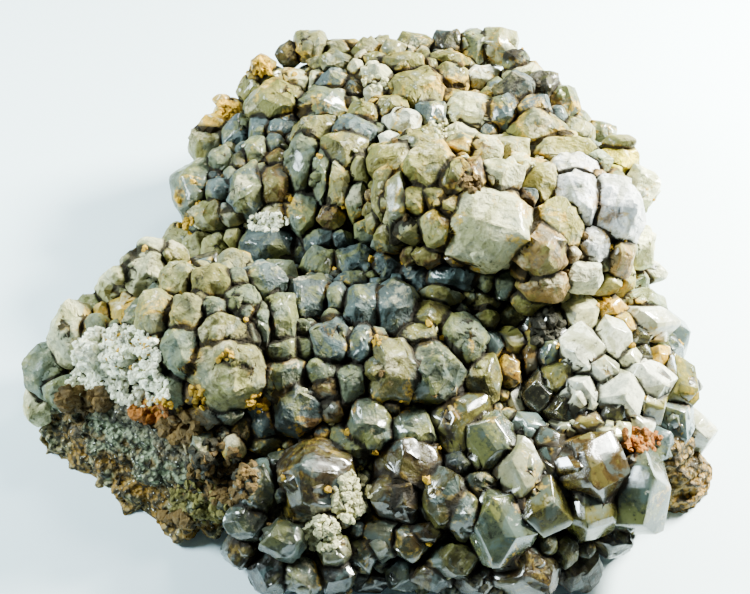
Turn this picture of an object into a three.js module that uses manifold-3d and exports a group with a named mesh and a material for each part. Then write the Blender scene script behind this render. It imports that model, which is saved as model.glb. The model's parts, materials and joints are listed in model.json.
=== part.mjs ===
// A garnet specimen: grey-brown garnets, grown into one another as a crust over a block of host rock.
// Millimetres, +Z up. The origin is on the flat underside, below the middle of the block. +X is its length.
import * as THREE from "three";
import { ConvexGeometry } from "three/addons/geometries/ConvexGeometry.js";
import { mergeVertices } from "three/addons/utils/BufferGeometryUtils.js";
import Module from "manifold-3d";

const wasm = await Module();
wasm.setup();

// Driving dimensions
const GAP = 0.3; // clearance between the crust and the rock
const CRUST_FOOT = 1; // height at which the crust ends, so that the block rests on the rock alone
const SEAT = 0.5; // share of its radius by which a crystal's centre lies below the crystals' outer surface
const FURROW = 2; // depth of the furrows between the crystals
const SMALLEST = 3; // crystals of the view below this radius are left out
const SWELL = 1.35; // how much larger the others are, to close up the crust
const ROUNDNESS = 1; // subdivision of the rounded masses
const CORNER = 0.585; // half edge of the cube inside a crystal whose surface lies about 1 from its centre
const SEED = 20;

// The view in which the crystals' places were read: a picture of that many columns and rows, its focal length
// in the same unit, and where it was taken from.
const VIEW = { columns: 750, rows: 594, focal: 1077, distance: 190, elevation: 52, aimHeight: 15 };

// The rounded masses that carry the crystals, as ellipsoids: centre and half lengths, with a turn about Z in
// degrees where there is one.
const MASSES = {
  back_ridge: { centre: [4, 42, 14], radii: [25, 15, 19] },
  back_left: { centre: [-15, 36, 13], radii: [14, 15, 16] },
  back_right: { centre: [27, 28, 16], radii: [15, 19, 18] },
  upper_plateau: { centre: [4, 24, 13], radii: [27, 24, 20] },
  upper_nose: { centre: [15, 9, 26], radii: [17, 13, 13] },
  upper_right: { centre: [36, 11, 19], radii: [10, 17, 16] },
  upper_lip: { centre: [28, -2, 26], radii: [7, 6, 8] },
  upper_left: { centre: [-19, 22, 11], radii: [17, 19, 16] },
  saddle: { centre: [22, 4, 8], radii: [20, 16, 16] },
  terrace: { centre: [-2, -12, 8], radii: [31, 22, 18] },
  left_knoll: { centre: [-25, -12, 13], radii: [18, 17, 17] },
  knoll_side: { centre: [-41, -12, 8], radii: [16, 13, 14] },
  right_flank: { centre: [36, -12, 7], radii: [17, 23, 15] },
  knoll_foot: { centre: [-23, -29, 6], radii: [11, 10, 11] },
  front_bulge: { centre: [17, -33, 5], radii: [25, 17, 13] },
  front_left: { centre: [-11, -37, 5], radii: [14, 13, 12] },
  right_front: { centre: [36, -31, 6], radii: [10, 10, 13] },
};

// The block of rock inside the crust.
const CORES = {
  rear: { centre: [6, 26, 6], radii: [28, 22, 20] },
  middle: { centre: [0, -12, 2], radii: [36, 22, 14] },
  front: { centre: [14, -26, 2], radii: [28, 17, 9] },
};

// The bare end of the block, with no garnet on it.
const BARE_MASSES = {
  broken_end: { centre: [-33, -22, 3], radii: [27, 18, 13], turn: 15 },
};

// The face along which the left front of the block was broken off: a point on it, its outward normal, and how
// far back from it the crust ends.
const BREAK = { point: [-47, -29, 2], normal: [-0.5, -0.72, 0.5], setback: 1.5 };

// Crystals read by eye in the view, as column, row, width and height, by the part of the crust they stand on.
const CRYSTALS = {
  back_rim: [
    [263, 68, 20, 18], [289, 55, 18, 18], [311, 47, 27, 25], [340, 51, 28, 17], [368, 50, 22, 15],
    [393, 50, 18, 14], [415, 47, 30, 20], [449, 46, 27, 21], [474, 48, 25, 28], [499, 47, 28, 30],
    [516, 62, 20, 17], [335, 64, 34, 16], [404, 64, 34, 16], [446, 62, 30, 15], [480, 66, 20, 17],
  ],
  back_slope: [
    [296, 86, 28, 25], [316, 84, 17, 20], [336, 85, 29, 22], [273, 79, 28, 17], [254, 93, 21, 26],
    [279, 107, 42, 34], [376, 80, 28, 23], [355, 92, 20, 22], [380, 96, 26, 24], [415, 98, 52, 40],
    [449, 80, 28, 24], [480, 82, 30, 24], [523, 76, 30, 20], [328, 111, 50, 34], [391, 112, 26, 24],
    [403, 126, 27, 26], [452, 106, 34, 24], [474, 120, 56, 34], [515, 96, 29, 34], [541, 91, 28, 28],
    [534, 112, 26, 26], [561, 104, 24, 28], [537, 131, 38, 30], [574, 131, 24, 19], [600, 134, 24, 18],
    [503, 114, 26, 26], [364, 118, 26, 24],
  ],
  left_slope: [
    [231, 112, 24, 20], [213, 127, 24, 17], [211, 147, 32, 34], [240, 137, 27, 30], [262, 131, 20, 27],
    [285, 131, 29, 21], [257, 157, 22, 28], [276, 151, 20, 25], [222, 163, 20, 23], [199, 193, 38, 46],
    [222, 192, 23, 21], [249, 196, 29, 42], [241, 166, 15, 22], [213, 215, 29, 23], [278, 189, 34, 36],
    [280, 165, 26, 22], [305, 171, 29, 56], [325, 178, 18, 46], [345, 155, 36, 34], [318, 135, 36, 28],
    [355, 135, 34, 27], [339, 188, 21, 36], [360, 172, 16, 26], [358, 203, 19, 27], [304, 215, 27, 36],
    [322, 243, 27, 24], [277, 218, 26, 22], [234, 216, 18, 16],
  ],
  nose: [
    [393, 164, 38, 32], [385, 196, 20, 42], [399, 206, 21, 50], [432, 172, 44, 38], [455, 182, 30, 34],
    [422, 148, 46, 26], [419, 202, 30, 26], [412, 228, 28, 22], [437, 226, 27, 36], [470, 224, 40, 62],
    [504, 226, 42, 60], [470, 178, 24, 28], [500, 178, 34, 28], [486, 153, 24, 26], [510, 152, 28, 22],
    [462, 148, 26, 22], [430, 255, 24, 17], [460, 256, 28, 15],
  ],
  right_brow: [
    [563, 152, 50, 26], [572, 171, 40, 24], [614, 160, 34, 26], [540, 187, 28, 36], [574, 204, 42, 48],
    [614, 214, 44, 52], [553, 228, 40, 38], [538, 252, 40, 42], [588, 247, 34, 30], [615, 256, 28, 31],
    [637, 248, 24, 34], [543, 284, 38, 26], [580, 275, 32, 25], [603, 284, 26, 22], [627, 284, 34, 26],
    [640, 306, 36, 24], [640, 188, 24, 30],
  ],
  terrace_back: [
    [270, 248, 46, 38], [302, 255, 38, 34], [322, 268, 34, 30], [262, 284, 36, 32], [286, 288, 17, 19],
    [356, 268, 36, 31], [386, 270, 30, 29], [420, 278, 40, 30], [455, 275, 41, 22], [484, 276, 28, 26],
    [508, 284, 28, 24], [531, 297, 30, 24], [440, 300, 32, 22], [476, 303, 40, 28],
  ],
  terrace: [
    [307, 303, 41, 42], [338, 303, 20, 32], [363, 311, 31, 43], [396, 312, 36, 50], [332, 345, 33, 41],
    [361, 350, 26, 38], [306, 330, 22, 18], [280, 323, 26, 45], [262, 326, 20, 34], [428, 322, 36, 32],
    [418, 340, 34, 26], [458, 345, 40, 50], [305, 350, 22, 24], [283, 351, 28, 22], [322, 372, 30, 25],
    [328, 390, 25, 22], [352, 383, 25, 34], [505, 318, 30, 30], [334, 408, 22, 22],
  ],
  left_knoll: [
    [184, 240, 29, 24], [171, 257, 27, 23], [192, 257, 32, 24], [216, 250, 22, 26], [233, 263, 26, 22],
    [148, 272, 38, 40], [182, 284, 34, 34], [213, 288, 34, 34], [237, 286, 24, 26], [243, 310, 29, 38],
    [160, 320, 38, 40], [190, 317, 34, 32], [218, 312, 28, 22], [225, 335, 42, 34], [228, 370, 60, 56],
    [185, 353, 35, 42], [158, 361, 25, 46], [174, 390, 30, 40], [128, 290, 26, 30], [206, 412, 30, 24],
    [152, 247, 22, 15],
  ],
  left_end: [
    [74, 335, 32, 48], [49, 371, 34, 42], [92, 307, 26, 20], [113, 292, 24, 28], [40, 404, 22, 32],
    [96, 330, 22, 24], [62, 392, 26, 22],
  ],
  knoll_foot: [
    [285, 380, 44, 40], [298, 408, 40, 46], [268, 418, 34, 36], [268, 441, 34, 22], [245, 427, 20, 27],
    [222, 432, 18, 25], [205, 446, 24, 38], [228, 412, 22, 18],
  ],
  twins: [
    [391, 373, 46, 54], [430, 374, 50, 54], [480, 381, 32, 40], [410, 435, 44, 46], [460, 430, 46, 58],
    [489, 448, 42, 50], [369, 424, 36, 48], [349, 446, 38, 36],
  ],
  front: [
    [412, 466, 52, 46], [399, 494, 44, 42], [443, 498, 34, 46], [462, 512, 29, 36], [498, 526, 44, 56],
    [541, 506, 42, 42], [583, 510, 46, 44], [519, 475, 34, 50], [547, 471, 27, 36], [588, 468, 62, 54],
    [634, 490, 44, 64], [611, 535, 32, 30], [525, 570, 50, 38], [504, 556, 24, 24], [318, 481, 60, 58],
    [256, 489, 35, 42], [247, 521, 30, 32], [242, 549, 28, 28], [272, 573, 30, 34], [304, 576, 32, 26],
    [284, 541, 32, 28], [336, 572, 30, 30], [381, 535, 36, 34], [361, 552, 28, 28], [410, 542, 28, 26],
    [456, 560, 36, 24], [474, 577, 30, 28], [434, 573, 30, 26], [404, 573, 28, 26], [372, 577, 30, 24],
  ],
  right_flank: [
    [508, 346, 26, 28], [508, 372, 22, 26], [531, 358, 20, 36], [552, 356, 24, 27], [578, 315, 29, 30],
    [580, 354, 36, 38], [611, 344, 27, 34], [645, 323, 42, 26], [602, 372, 25, 25], [559, 379, 24, 24],
    [580, 396, 30, 34], [617, 396, 36, 36], [642, 382, 40, 32], [646, 407, 28, 24], [672, 385, 32, 46],
    [672, 422, 30, 36], [514, 406, 24, 32], [540, 396, 24, 32], [565, 410, 26, 24], [590, 424, 30, 20],
    [612, 416, 24, 28], [637, 426, 22, 22], [565, 432, 32, 22], [614, 434, 26, 20], [527, 430, 27, 27],
    [548, 443, 28, 24], [696, 432, 24, 28], [671, 337, 24, 34], [548, 326, 32, 32], [606, 307, 26, 22],
  ],
};

// Crystals that close the crust where the view shows none: radius, its variation either way, how unequal a
// crystal's own three half lengths may be, and the share of two radii that their centres stay apart.
const FILL = { radius: 6.1, variation: 0.22, stretch: 0.18, spacing: 0.8 };

// Lumps of rock on the broken face: how far they spread to each side of a middle, and up the face, and the share
// of their radius by which they are sunk in it.
const LUMPS = { count: 20, radius: 3.6, variation: 0.4, spread: 19, middle: 4, reach: 14, sunk: 0.45 };

// The rusty spur at the right front: a pile of slabs that dip outwards, each set back from the one below it.
const SPUR = {
  foot: [49.5, -27.5, 1.6],
  slabs: 5,
  sides: 7,
  halves: [9, 7.5],
  thickness: 3.2,
  rise: 2.5,
  setback: [-0.8, 0.5],
  shrink: 0.08,
  taper: 0.88,
  dip: 9,
  twist: 24,
};

const GARNET = { color: 0x7f7763, roughness: 0.5, metalness: 0 };
const ROCK = { color: 0x6f6a55, roughness: 0.9, metalness: 0 };

const Z_AXIS = new THREE.Vector3(0, 0, 1);
const EVERYTHING = 400; // edge of a block larger than the specimen
const MERGE_DISTANCE = 1e-4;
const GOLDEN_ANGLE = Math.PI * (3 - Math.sqrt(5));
const EDGE_MARGIN = 0.4; // share of its radius that a filling crystal keeps from the broken face

// A repeatable row of random numbers from 0 to 1.
function makeRandom(seed) {
  let state = seed;
  return () => {
    state = (Math.imul(state, 1664525) + 1013904223) >>> 0;
    return state / 4294967296;
  };
}

const elevation = THREE.MathUtils.degToRad(VIEW.elevation);
const viewBack = new THREE.Vector3(0, -Math.cos(elevation), Math.sin(elevation));
const viewRight = new THREE.Vector3(1, 0, 0);
const viewUp = new THREE.Vector3().crossVectors(viewBack, viewRight);
const breakPoint = new THREE.Vector3(...BREAK.point);
const breakNormal = new THREE.Vector3(...BREAK.normal).normalize();
const eye = viewBack.clone().multiplyScalar(VIEW.distance).add(new THREE.Vector3(0, 0, VIEW.aimHeight));

const allMasses = [...Object.values(MASSES), ...Object.values(BARE_MASSES)];

// The direction from the eye through a column and row of the view, one unit long along the view's axis.
function lineOfSight(column, row) {
  return viewBack
    .clone()
    .negate()
    .addScaledVector(viewRight, (column - VIEW.columns / 2) / VIEW.focal)
    .addScaledVector(viewUp, (VIEW.rows / 2 - row) / VIEW.focal);
}

// A point or direction in a mass's own unit-sphere coordinates.
function toUnit(mass, vector, isPoint) {
  const local = isPoint ? vector.clone().sub(new THREE.Vector3(...mass.centre)) : vector.clone();
  local.applyAxisAngle(Z_AXIS, -THREE.MathUtils.degToRad(mass.turn ?? 0));
  return local.divide(new THREE.Vector3(...mass.radii));
}

// Where a line of sight meets the masses, or passes them most closely: its depth along the view's axis.
function depthOfSurface(sight) {
  let hitDepth = Infinity;
  let nearDepth = 0;
  let nearMiss = Infinity;
  for (const mass of allMasses) {
    const start = toUnit(mass, eye, true);
    const step = toUnit(mass, sight, false);
    const a = step.lengthSq();
    const b = start.dot(step);
    const miss = start.lengthSq() - (b * b) / a;
    if (miss < 1) hitDepth = Math.min(hitDepth, (-b - Math.sqrt(a * (1 - miss))) / a);
    if (miss < nearMiss) {
      nearMiss = miss;
      nearDepth = -b / a;
    }
  }
  return Number.isFinite(hitDepth) ? hitDepth : nearDepth;
}

function randomTurn(random) {
  const [x, y, z, w] = [0, 0, 0, 0].map(() => random() * 2 - 1);
  return new THREE.Quaternion(x, y, z, w).normalize();
}

// A crystal read in the view: its centre, its half lengths across, up and along the view, and its own turn.
function crystalInView([column, row, width, height], random) {
  const sight = lineOfSight(column, row);
  const depth = depthOfSurface(sight);
  const halves = new THREE.Vector3(width, height, Math.sqrt(width * height));
  halves.multiplyScalar((SWELL * depth) / VIEW.focal / 2);
  const centre = eye.clone().addScaledVector(sight, depth + SEAT * halves.z);
  const frame = new THREE.Matrix4().makeBasis(viewRight, viewUp, viewBack);
  return { centre, halves, radius: halves.z, frame, turn: randomTurn(random) };
}

function insideBreak(point, margin) {
  return point.clone().sub(breakPoint).dot(breakNormal) < -margin;
}

// A filling crystal at one of evenly spread places on a mass.
function crystalOnMass(mass, index, count, random) {
  const radii = new THREE.Vector3(...mass.radii);
  const height = 1 - (2 * (index + 0.5)) / count;
  const ring = Math.sqrt(1 - height ** 2);
  const angle = index * GOLDEN_ANGLE;
  const unit = new THREE.Vector3(ring * Math.cos(angle), ring * Math.sin(angle), height);
  const radius = FILL.radius * (1 + FILL.variation * (random() * 2 - 1));
  const stretch = [0, 0, 0].map(() => 1 + FILL.stretch * (random() * 2 - 1));
  const normal = unit.clone().divide(radii).normalize();
  const centre = unit.multiply(radii).addScaledVector(normal, -SEAT * radius);
  centre.applyAxisAngle(Z_AXIS, THREE.MathUtils.degToRad(mass.turn ?? 0));
  centre.add(new THREE.Vector3(...mass.centre));
  const halves = new THREE.Vector3(...stretch).multiplyScalar(radius);
  return { centre, halves, radius, frame: new THREE.Matrix4(), turn: randomTurn(random) };
}

// Whether a filling crystal's place on a mass lies in the open, above the foot and behind the broken face.
function isOpen({ centre, radius }, mass) {
  const covers = (other) => other !== mass && toUnit(other, centre, true).length() < 1;
  return centre.z > CRUST_FOOT && insideBreak(centre, radius * EDGE_MARGIN) && !allMasses.some(covers);
}

// Crystals on the masses, wherever there is room between those already there. Each mass is tried at about one
// place for every square of the crystals' radius.
function addFill(crystals, random) {
  for (const mass of Object.values(MASSES)) {
    const [a, b, c] = mass.radii;
    const area = (4 * Math.PI * (a * b + b * c + a * c)) / 3;
    const count = Math.round(area / FILL.radius ** 2);
    for (let i = 0; i < count; i++) {
      const one = crystalOnMass(mass, i, count, random);
      const gap = (other) => other.centre.distanceTo(one.centre) - FILL.spacing * (other.radius + one.radius);
      if (isOpen(one, mass) && crystals.every((other) => gap(other) >= 0)) crystals.push(one);
    }
  }
}

// A closed geometry as a manifold solid.
function solidOf(geometry) {
  geometry.deleteAttribute("normal");
  geometry.deleteAttribute("uv");
  const merged = mergeVertices(geometry, MERGE_DISTANCE);
  const vertProperties = new Float32Array(merged.attributes.position.array);
  const triVerts = new Uint32Array(merged.index.array);
  return new wasm.Manifold(new wasm.Mesh({ numProp: 3, vertProperties, triVerts }));
}

function geometryOf(solid) {
  const mesh = solid.getMesh();
  const geometry = new THREE.BufferGeometry();
  geometry.setAttribute("position", new THREE.BufferAttribute(new Float32Array(mesh.vertProperties), 3));
  geometry.setIndex(new THREE.BufferAttribute(new Uint32Array(mesh.triVerts), 1));
  geometry.computeVertexNormals();
  return geometry;
}

// The corners of a rhombic dodecahedron, garnet's usual form: a cube's, and one above each of the cube's faces.
function dodecahedronCorners(size) {
  const corners = [];
  for (const sign of [-1, 1]) {
    for (const axis of [0, 1, 2]) corners.push(new THREE.Vector3().setComponent(axis, 2 * sign * size));
    for (const y of [-1, 1]) {
      for (const z of [-1, 1]) corners.push(new THREE.Vector3(sign, y, z).multiplyScalar(size));
    }
  }
  return corners;
}

function crystalSolid({ centre, halves, frame, turn }) {
  const geometry = new ConvexGeometry(dodecahedronCorners(CORNER)).applyQuaternion(turn);
  geometry.scale(halves.x, halves.y, halves.z).applyMatrix4(frame);
  return solidOf(geometry.translate(...centre));
}

function massSolid({ centre, radii, turn = 0 }, grow) {
  const geometry = new THREE.IcosahedronGeometry(1, ROUNDNESS);
  geometry.scale(radii[0] + grow, radii[1] + grow, radii[2] + grow);
  geometry.rotateZ(THREE.MathUtils.degToRad(turn));
  geometry.translate(...centre);
  return solidOf(geometry);
}

function join(solids) {
  return solids.reduce((all, one) => all.add(one));
}

// Everything below a height.
function everythingBelow(height) {
  const geometry = new THREE.BoxGeometry(EVERYTHING, EVERYTHING, EVERYTHING);
  return solidOf(geometry.translate(0, 0, height - EVERYTHING / 2));
}

// Everything in front of the broken face, or of a face parallel to it.
function everythingBroken(shift) {
  const turn = new THREE.Quaternion().setFromUnitVectors(Z_AXIS, breakNormal);
  const centre = breakPoint.clone().addScaledVector(breakNormal, EVERYTHING / 2 + shift);
  const geometry = new THREE.BoxGeometry(EVERYTHING, EVERYTHING, EVERYTHING).applyQuaternion(turn);
  return solidOf(geometry.translate(...centre));
}

// Rough lumps half sunk in the broken face. A lump that would hang over the face's edge is left out.
function lumpSolids(random, grow) {
  const along = Z_AXIS.clone().cross(breakNormal).normalize();
  const uphill = breakNormal.clone().cross(along);
  const lumps = [];
  for (let i = 0; i < LUMPS.count; i++) {
    const radius = LUMPS.radius * (1 + LUMPS.variation * (random() * 2 - 1));
    const centre = breakPoint
      .clone()
      .addScaledVector(along, (random() * 2 - 1) * LUMPS.spread + LUMPS.middle)
      .addScaledVector(uphill, random() * LUMPS.reach)
      .addScaledVector(breakNormal, -radius * LUMPS.sunk);
    const turn = randomTurn(random);
    const onRock = toUnit(BARE_MASSES.broken_end, centre, true).length() < 1;
    if (!onRock || centre.z < radius) continue;
    const geometry = new THREE.IcosahedronGeometry(radius + grow, 0).applyQuaternion(turn);
    lumps.push(solidOf(geometry.translate(...centre)));
  }
  return lumps;
}

// The slabs of the rusty spur.
function slabSolids(grow) {
  const [x, y, z] = SPUR.foot;
  return Array.from({ length: SPUR.slabs }, (_, i) => {
    const share = 1 - SPUR.shrink * i;
    const geometry = new THREE.CylinderGeometry(SPUR.taper, 1, 1, SPUR.sides).rotateX(Math.PI / 2);
    geometry.rotateZ(THREE.MathUtils.degToRad(SPUR.twist * i));
    geometry.scale(SPUR.halves[0] * share + grow, SPUR.halves[1] * share + grow, SPUR.thickness + 2 * grow);
    geometry.rotateY(THREE.MathUtils.degToRad(SPUR.dip));
    return solidOf(geometry.translate(x + SPUR.setback[0] * i, y + SPUR.setback[1] * i, z + SPUR.rise * i));
  });
}

function rockSolid(grow) {
  const cores = [...Object.values(CORES), ...Object.values(BARE_MASSES)].map((mass) => massSolid(mass, grow));
  return join(cores)
    .subtract(everythingBroken(grow))
    .add(join([...slabSolids(grow), ...lumpSolids(makeRandom(SEED), grow)]))
    .subtract(everythingBelow(0));
}

function largestBody(solid) {
  return solid.decompose().reduce((best, body) => (body.volume() > best.volume() ? body : best));
}

function crustSolid(crystals) {
  const skin = join(Object.values(MASSES).map((mass) => massSolid(mass, -FURROW)));
  const grown = join(crystals.map(crystalSolid));
  const crust = skin.add(grown).subtract(everythingBelow(CRUST_FOOT));
  return largestBody(crust.subtract(everythingBroken(-BREAK.setback)).subtract(rockSolid(GAP)));
}

function namedMesh(name, solid, look) {
  const material = new THREE.MeshStandardMaterial({ ...look, flatShading: true });
  const mesh = new THREE.Mesh(geometryOf(solid), material);
  mesh.name = name;
  return mesh;
}

const random = makeRandom(SEED);
const crystals = Object.values(CRYSTALS)
  .flat()
  .map((place) => crystalInView(place, random))
  .filter((crystal) => crystal.radius >= SMALLEST * SWELL);
addFill(crystals, random);

const specimen = new THREE.Group();
specimen.add(namedMesh("host_rock", largestBody(rockSolid(0)), ROCK));
specimen.add(namedMesh("garnet_crust", crustSolid(crystals), GARNET));
export default specimen;
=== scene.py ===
"""The looks of a garnet specimen: intergrown garnets over a block of host rock, bare at its broken end.

Lengths are in millimetres unless a name ends in _m, and finished meshes are in metres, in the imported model's frame.
"""

from __future__ import annotations

import json
import logging
import math
import random
from collections.abc import Callable
from dataclasses import dataclass, field
from enum import Enum

import bmesh
import bpy
import numpy as np
from mathutils import Matrix, Quaternion, Vector, noise

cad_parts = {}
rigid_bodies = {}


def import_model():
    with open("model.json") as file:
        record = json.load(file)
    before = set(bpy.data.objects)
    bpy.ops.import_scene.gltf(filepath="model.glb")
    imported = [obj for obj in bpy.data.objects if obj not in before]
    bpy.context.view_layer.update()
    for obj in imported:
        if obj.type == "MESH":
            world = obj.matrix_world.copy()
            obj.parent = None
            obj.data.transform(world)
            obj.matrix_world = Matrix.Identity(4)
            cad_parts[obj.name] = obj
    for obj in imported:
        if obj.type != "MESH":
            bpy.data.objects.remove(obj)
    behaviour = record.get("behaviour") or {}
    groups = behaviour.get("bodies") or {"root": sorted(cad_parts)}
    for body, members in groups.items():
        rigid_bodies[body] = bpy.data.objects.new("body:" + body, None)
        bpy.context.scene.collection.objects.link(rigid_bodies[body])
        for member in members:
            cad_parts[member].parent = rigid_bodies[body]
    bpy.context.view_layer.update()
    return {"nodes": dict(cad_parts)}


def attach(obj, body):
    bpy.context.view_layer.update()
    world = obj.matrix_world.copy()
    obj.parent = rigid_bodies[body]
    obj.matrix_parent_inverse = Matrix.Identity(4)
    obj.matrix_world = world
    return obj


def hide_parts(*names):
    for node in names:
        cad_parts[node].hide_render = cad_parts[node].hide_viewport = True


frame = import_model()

LOG = logging.getLogger("garnet")
MM = 0.001
SEED = 20
ORIGINAL = 0.5
SEAM_STEP = 7
DOWN = Vector((0.0, 0.0, -1.0))


class Tone(Enum):
    """Colour of a crystal's own body, as linear red, green and blue; the white tone also stands in for painted
    highlights.
    """

    GREY = (0.115, 0.132, 0.075)
    SLATE = (0.068, 0.092, 0.088)
    OLIVE = (0.155, 0.135, 0.034)
    BEIGE = (0.225, 0.205, 0.08)
    CREAM = (0.50, 0.48, 0.27)
    # White crystal faces, and painted highlights: lamp glints on facets and faces blown out by the lamp.
    WHITE = (0.66, 0.66, 0.50)
    GOLD = (0.56, 0.32, 0.02)
    BROWN = (0.115, 0.068, 0.018)
    DARK = (0.022, 0.019, 0.010)
    CHALK = (0.92, 0.92, 0.70)
    RUST = (0.30, 0.10, 0.01)


class Habit(Enum):
    """How worn a crystal's form is: bevel, smoothing passes, and share of the 24 small faces."""

    ROUNDED = (0.13, 3, 0.9)
    BLOCKY = (0.08, 1, 0.75)
    SHARP = (0.035, 0, 0.45)


class Area(Enum):
    """A part of the crust, which becomes one piece."""

    REAR = "crystals_rear"
    UPPER = "crystals_upper"
    BROW = "crystals_brow"
    SLOPE = "crystals_left_slope"
    TERRACE = "crystals_terrace"
    KNOLL = "crystals_left_knoll"
    FRONT = "crystals_front"
    FLANK = "crystals_right_flank"


@dataclass(frozen=True)
class PhotoView:
    """The view in which the crystals' places were read, which is also where the camera stands."""

    columns: int = 750
    rows: int = 594
    focal: float = 1077.0
    distance: float = 190.0
    elevation: float = 52.0
    aim_height: float = 15.0

    @property
    def back(self) -> Vector:
        """Direction from the specimen to the eye."""
        angle = math.radians(self.elevation)
        return Vector((0.0, -math.cos(angle), math.sin(angle)))

    @property
    def right(self) -> Vector:
        """Direction across the view."""
        return Vector((1.0, 0.0, 0.0))

    @property
    def up(self) -> Vector:
        """Direction up the view."""
        return self.back.cross(self.right)

    @property
    def eye(self) -> Vector:
        """Place of the eye."""
        return self.back * self.distance + Vector((0.0, 0.0, self.aim_height))

    def sight(self, column: float, row: float) -> Vector:
        """Direction from the eye through a place in the view.

        Args:
            column: Column in the view.
            row: Row in the view.

        Returns:
            The direction, one unit long along the view's axis.
        """
        across = (column - self.columns / 2) / self.focal
        upwards = (self.rows / 2 - row) / self.focal
        return self.right * across + self.up * upwards - self.back

    def turn(self) -> Matrix:
        """Turn from the view's right, up and back to the model's axes."""
        return Matrix((self.right, self.up, self.back)).transposed()


VIEW = PhotoView()


@dataclass(frozen=True)
class Mass:
    """A rounded mass of the specimen, as an ellipsoid turned about Z."""

    area: Area
    centre: tuple[float, float, float]
    radii: tuple[float, float, float]
    turn: float = 0.0

    def to_unit(self, vector: Vector, is_point: bool = True) -> Vector:
        """A point or direction in coordinates where the mass is a unit sphere."""
        local = vector - Vector(self.centre) if is_point else vector.copy()
        local.rotate(Quaternion((0.0, 0.0, 1.0), -math.radians(self.turn)))
        return Vector(value / radius for value, radius in zip(local, self.radii))

    def from_unit(self, unit: Vector) -> Vector:
        """A point of the unit sphere, on the mass."""
        local = Vector(value * radius for value, radius in zip(unit, self.radii))
        local.rotate(Quaternion((0.0, 0.0, 1.0), math.radians(self.turn)))
        return local + Vector(self.centre)

    def normal(self, unit: Vector) -> Vector:
        """Outward normal at a point of the unit sphere."""
        local = Vector(value / radius for value, radius in zip(unit, self.radii))
        local.rotate(Quaternion((0.0, 0.0, 1.0), math.radians(self.turn)))
        return local.normalized()

    def depth(self, sight: Vector) -> tuple[float, float]:
        """Where a line of sight meets the mass.

        Args:
            sight: Direction from the eye.

        Returns:
            Depth along the view's axis, and the squared miss distance, under one where the line meets the mass.
        """
        start = self.to_unit(VIEW.eye)
        step = self.to_unit(sight, is_point=False)
        a = step.length_squared
        b = start.dot(step)
        miss = start.length_squared - b * b / a
        if miss < 1:
            return (-b - math.sqrt(a * (1 - miss))) / a, miss
        return -b / a, miss


MASSES = {
    "back_ridge": Mass(Area.REAR, (4, 42, 14), (25, 15, 19)),
    "back_left": Mass(Area.REAR, (-15, 36, 13), (14, 15, 16)),
    "back_right": Mass(Area.REAR, (27, 28, 16), (15, 19, 18)),
    "upper_plateau": Mass(Area.UPPER, (4, 24, 13), (27, 24, 20)),
    "upper_nose": Mass(Area.BROW, (15, 9, 26), (17, 13, 13)),
    "upper_right": Mass(Area.BROW, (36, 11, 19), (10, 17, 16)),
    "upper_lip": Mass(Area.BROW, (28, -2, 26), (7, 6, 8)),
    "upper_left": Mass(Area.SLOPE, (-19, 22, 11), (17, 19, 16)),
    "saddle": Mass(Area.TERRACE, (22, 4, 8), (20, 16, 16)),
    "terrace": Mass(Area.TERRACE, (-2, -12, 8), (31, 22, 18)),
    "left_knoll": Mass(Area.KNOLL, (-25, -12, 13), (18, 17, 17)),
    "knoll_side": Mass(Area.KNOLL, (-41, -12, 8), (16, 13, 14)),
    "right_flank": Mass(Area.FLANK, (36, -12, 7), (17, 23, 15)),
    "knoll_foot": Mass(Area.KNOLL, (-23, -29, 6), (11, 10, 11)),
    "front_bulge": Mass(Area.FRONT, (17, -33, 5), (25, 17, 13)),
    "front_left": Mass(Area.FRONT, (-11, -37, 5), (14, 13, 12)),
    "right_front": Mass(Area.FLANK, (36, -31, 6), (10, 10, 13)),
}
BROKEN_END = Mass(Area.KNOLL, (-33, -22, 3), (27, 18, 13), turn=15.0)


@dataclass(frozen=True)
class BrokenFace:
    """The face along which the left front of the block broke off."""

    point: tuple[float, float, float] = (-47.0, -29.0, 2.0)
    outward: tuple[float, float, float] = (-0.5, -0.72, 0.5)

    @property
    def normal(self) -> Vector:
        """Outward normal."""
        return Vector(self.outward).normalized()

    def height(self, point: Vector) -> float:
        """How far a point stands out of the face."""
        return (point - Vector(self.point)).dot(self.normal)


FACE = BrokenFace()

Reading = tuple[int, int, int, int]


@dataclass(frozen=True)
class Patch:
    """Crystals read in the view, as column, row, width and height, by their tone."""

    area: Area
    habit: Habit
    gloss: float
    stain: float
    # light: painted light and shade, a brightness factor on the tone of every crystal in the patch, low at the shaded
    # front and high on the lamp-lit right brow.
    light: float
    readings: dict[Tone, list[Reading]]


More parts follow.
